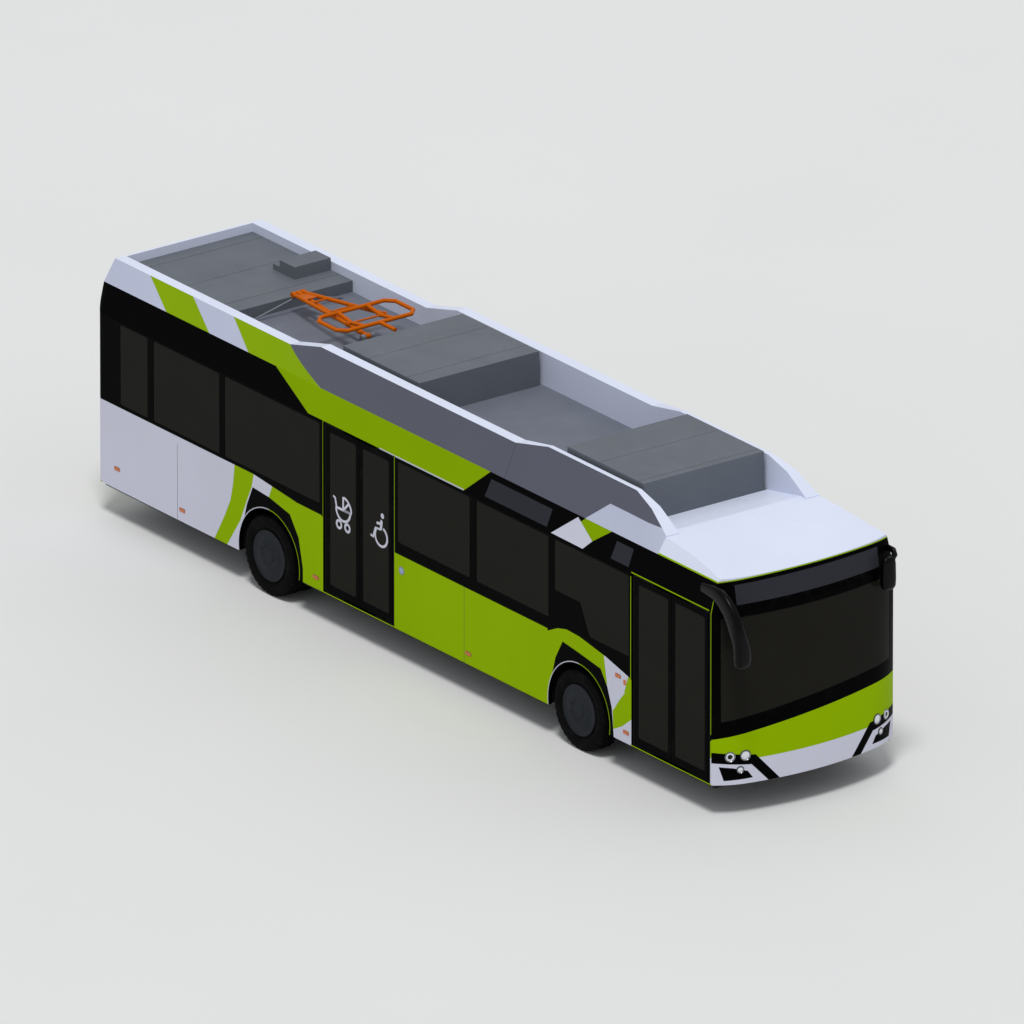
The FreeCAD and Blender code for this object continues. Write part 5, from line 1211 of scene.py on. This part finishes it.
class BUS_OT_seats(bpy.types.Operator):
    """Replace the plain benches by moulded shells on legs with padded, piped cushions"""

    bl_idname = "bus.seats"
    bl_label = "Seats"

    def seat_parts(self, low, high, places, cushions, piping, shells):
        """One bench: places seats side by side between the corners of the plain bench."""
        lean, rise, tall, gap, shell_thick = 0.11, 0.69, 0.62, 0.012, 0.018
        pan = high.z - rise
        rear = low.x + lean
        wide = (high.y - low.y) / places
        span = wide - 2 * gap
        up = Vector((-lean, 0, rise - 0.06)).normalized()
        ahead = Vector((up.z, 0, -up.x))
        for place in range(places):
            y = low.y + wide * place + gap
            foot = Vector((rear - 0.005, y, pan + 0.075))
            for pad in (
                ((rear + 0.02, y, pan + 0.02), (0.41, 0, 0), (0, span, 0), (0, 0, 1), 0.065),
                (foot, (0, span, 0), up * 0.60, ahead, 0.055),
            ):
                add_tube(piping, add_pad(cushions, *pad), 0.005, 6, closed=True)
            add_shell(shells, foot - ahead * 0.012, (0, span, 0), up * tall, -ahead, shell_thick)
            add_shell(shells, (rear + 0.01, y, pan + 0.012), (0.42, 0, 0), (0, span, 0), (0, 0, -1), shell_thick)
        middle = (low.y + high.y) / 2
        post = rear + 0.17
        for y in (middle - wide * places * 0.3, middle + wide * places * 0.3):
            add_tube(shells, [(post, y, low.z), (post, y, pan - 0.01)], 0.018, 10)
            add_tube(shells, [(rear + 0.05, y, low.z + 0.012), (rear + 0.30, y, low.z + 0.012)], 0.012, 8)
        add_tube(shells, [(post, low.y + 0.02, pan - 0.012), (post, high.y - 0.02, pan - 0.012)], 0.016, 10)

    def execute(self, context):
        colours = context.scene.bus_colours
        fabric = fabric_finish(colours)
        cord = plain_paint("seat_piping", FLECK, 0.6, 0.8)
        shell = plain_paint("seat_shell", srgb(58, 60, 64), 0.4, 0.55)
        for node, places, name in (("seats", 2, "bench"), ("driver_place", 1, "driver")):
            boxes = boxes_of(node)
            if node == "driver_place":
                boxes = [(low, high) for low, high in boxes if abs(high.y - low.y - DRIVER_WIDE) < 0.02]
            cushions, piping, shells = bmesh.new(), bmesh.new(), bmesh.new()
            for low, high in boxes:
                self.seat_parts(low, high, places, cushions, piping, shells)
            pads = piece(f"{name}_cushions", cushions, fabric, degrees=60)
            piece(f"{name}_piping", piping, cord)
            made = piece(f"{name}_shells", shells, shell)
            if node == "seats":
                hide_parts("seats")
        return {"FINISHED"}


class BUS_OT_pantograph_trim(bpy.types.Operator):
    """Add ribbed insulators, pivot caps and cross plates to the pantograph"""

    bl_idname = "bus.pantograph_trim"
    bl_label = "Pantograph trim"

    def execute(self, context):
        base_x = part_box("panto_base")[1].x - 0.046
        glaze = plain_paint("insulator_glaze", srgb(96, 60, 44), 0.2, 0.35, gleam=0.4)
        steel = plain_paint("pivot_steel", srgb(130, 132, 138), 0.25, 0.4, 0.8, gleam=0.4)
        orange = plain_paint("panto_plate_paint", context.scene.bus_colours.orange, 0.4, 0.55, gleam=0.12)
        form = bmesh.new()
        for side in (-1, 1):
            profile = [(0.0, 0.043)]
            for rib in range(3):
                z = 0.004 + rib * 0.010
                profile += [(z, 0.044), (z + 0.002, 0.055), (z + 0.005, 0.055), (z + 0.007, 0.044)]
            profile += [(0.036, 0.043), (0.036, 0.0425)]
            place = (base_x, INSULATOR_OUT * side, SHOULDER)
            add_lathe(form, profile + [(0.0, 0.0425)], place, (0, 0, 1), 40, closed=True)
        piece("insulators", form, glaze)
        form = bmesh.new()
        for side in (-1, 1):
            add_lathe(form, [(0.0, 0.018), (0.006, 0.018), (0.009, 0.014), (0.0095, 0.0004)],
                      (base_x + 0.001, PIN_CAP_OUT * side, BASE_PIN_HEIGHT), (0, side, 0), 24)
        piece("base_pivot_caps", form, steel)
        knee, head = (Vector((REAR + x, 0, z)) for x, z in (KNEE_PIN, HEAD_PIN))
        form = bmesh.new()
        rings = []
        for share, spread in ((0.06, 0.075), (0.20, 0.104)):
            point = knee + (head - knee) * share
            corners = upright(-spread, spread, -0.006, 0.006)
            rings.append([form.verts.new(point + Vector((0, y, z))) for y, z in corners])
        skin(form, rings)
        piece("knee_plate", form, orange, "pantograph_upper_arm")
        return {"FINISHED"}


class BUS_OT_door_seals(bpy.types.Operator):
    """Add finger seals to the door leaves"""

    bl_idname = "bus.door_seals"
    bl_label = "Door seals"

    def execute(self, context):
        seal_rubber = rubber("seal_rubber", (8, 8, 9))
        for node in LEAVES:
            body = node.removesuffix("_leaf")
            low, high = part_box(node)
            form = bmesh.new()
            middle = (low.y + high.y) / 2
            for x in (low.x + 0.004, high.x - 0.004):
                add_tube(form, [(x, middle, low.z + 0.01), (x, middle, high.z - 0.01)], 0.0065, 8)
            piece(f"{body}_seal", form, seal_rubber, body)
        return {"FINISHED"}


def put(name, data):
    """An object of the stage."""
    made = bpy.data.objects.new(name, data)
    bpy.context.scene.collection.objects.link(made)
    return made


class BUS_OT_stage(bpy.types.Operator):
    """Set the floor, the soft studio light and the camera"""

    bl_idname = "bus.stage"
    bl_label = "Stage"

    def execute(self, context):
        stage = context.scene.bus_stage
        scene = context.scene
        form = bmesh.new()
        bmesh.ops.create_circle(form, cap_ends=True, radius=stage.floor_radius, segments=96)
        mesh = bpy.data.meshes.new("studio_floor")
        form.to_mesh(mesh)
        form.free()
        floor = put("studio_floor", mesh)
        floor.location.z = -FLOOR_DROP
        floor_paper = Finish("studio_paper")
        floor_paper.rough(0.85, 0.95, 0.5)
        mesh.materials.append(floor_paper.done(floor_paper.worn(srgb(226, 226, 224), 0.01, 0.2)))
        world = bpy.data.worlds.new("studio_air")
        scene.world = world
        world.use_nodes = True
        air = world.node_tree.nodes["Background"].inputs
        air["Color"].default_value = (0.93, 0.95, 1.0, 1)
        air["Strength"].default_value = 0.5
        for name, angles, strength, size in (
            ("key_light", (22, 0, 48), 1.65, 14),
            ("fill_light", (50, 0, -130), 0.2, 50),
        ):
            lamp = bpy.data.lights.new(name, "SUN")
            lamp.energy = strength
            lamp.angle = math.radians(size)
            put(name, lamp).rotation_euler = [math.radians(value) for value in angles]
        camera = bpy.data.cameras.new("camera")
        camera.sensor_width = 36
        camera.lens = stage.lens
        holder = put("camera", camera)
        back = Vector((
            math.sin(stage.azimuth) * math.cos(stage.elevation),
            -math.cos(stage.azimuth) * math.cos(stage.elevation),
            math.sin(stage.elevation),
        ))
        distance = stage.view_width * stage.lens / camera.sensor_width
        holder.location = Vector(LOOK_AT) + back * distance
        holder.rotation_mode = "QUATERNION"
        holder.rotation_quaternion = (-back).to_track_quat("-Z", "Y")
        camera.clip_start = 1
        camera.clip_end = distance + 200
        scene.camera = holder
        scene.view_settings.view_transform = "Standard"
        return {"FINISHED"}


class BUS_PT_panel(bpy.types.Panel):
    """The steps that dress the bus, in order"""

    bl_idname = "BUS_PT_panel"
    bl_label = "City bus"
    bl_space_type = "VIEW_3D"
    bl_region_type = "UI"
    bl_category = "City bus"

    def draw(self, context):
        column = self.layout.column(align=True)
        for step in STEPS:
            column.operator(step.bl_idname)
        for group in (context.scene.bus_colours, context.scene.bus_trim, context.scene.bus_stage):
            box = self.layout.box()
            for name in group.__annotations__:
                box.prop(group, name)


STEPS = (
    BUS_OT_body_paint,
    BUS_OT_glass,
    BUS_OT_roof_finish,
    BUS_OT_cabin_finish,
    BUS_OT_tyres,
    BUS_OT_wheel_covers,
    BUS_OT_window_rubbers,
    BUS_OT_door_seals,
    BUS_OT_lamp_trim,
    BUS_OT_mirrors,
    BUS_OT_door_signs,
    BUS_OT_seats,
    BUS_OT_pantograph_trim,
    BUS_OT_stage,
)
CLASSES = (BusColours, BusTrim, BusStage) + STEPS + (BUS_PT_panel,)


def register():
    for kind in CLASSES:
        bpy.utils.register_class(kind)
    bpy.types.Scene.bus_colours = bpy.props.PointerProperty(type=BusColours)
    bpy.types.Scene.bus_trim = bpy.props.PointerProperty(type=BusTrim)
    bpy.types.Scene.bus_stage = bpy.props.PointerProperty(type=BusStage)


def unregister():
    del bpy.types.Scene.bus_stage
    del bpy.types.Scene.bus_trim
    del bpy.types.Scene.bus_colours
    for kind in reversed(CLASSES):
        bpy.utils.unregister_class(kind)


def main():
    register()
    for step in STEPS:
        group, name = step.bl_idname.split(".")
        getattr(getattr(bpy.ops, group), name)()


if __name__ == "__main__":
    main()
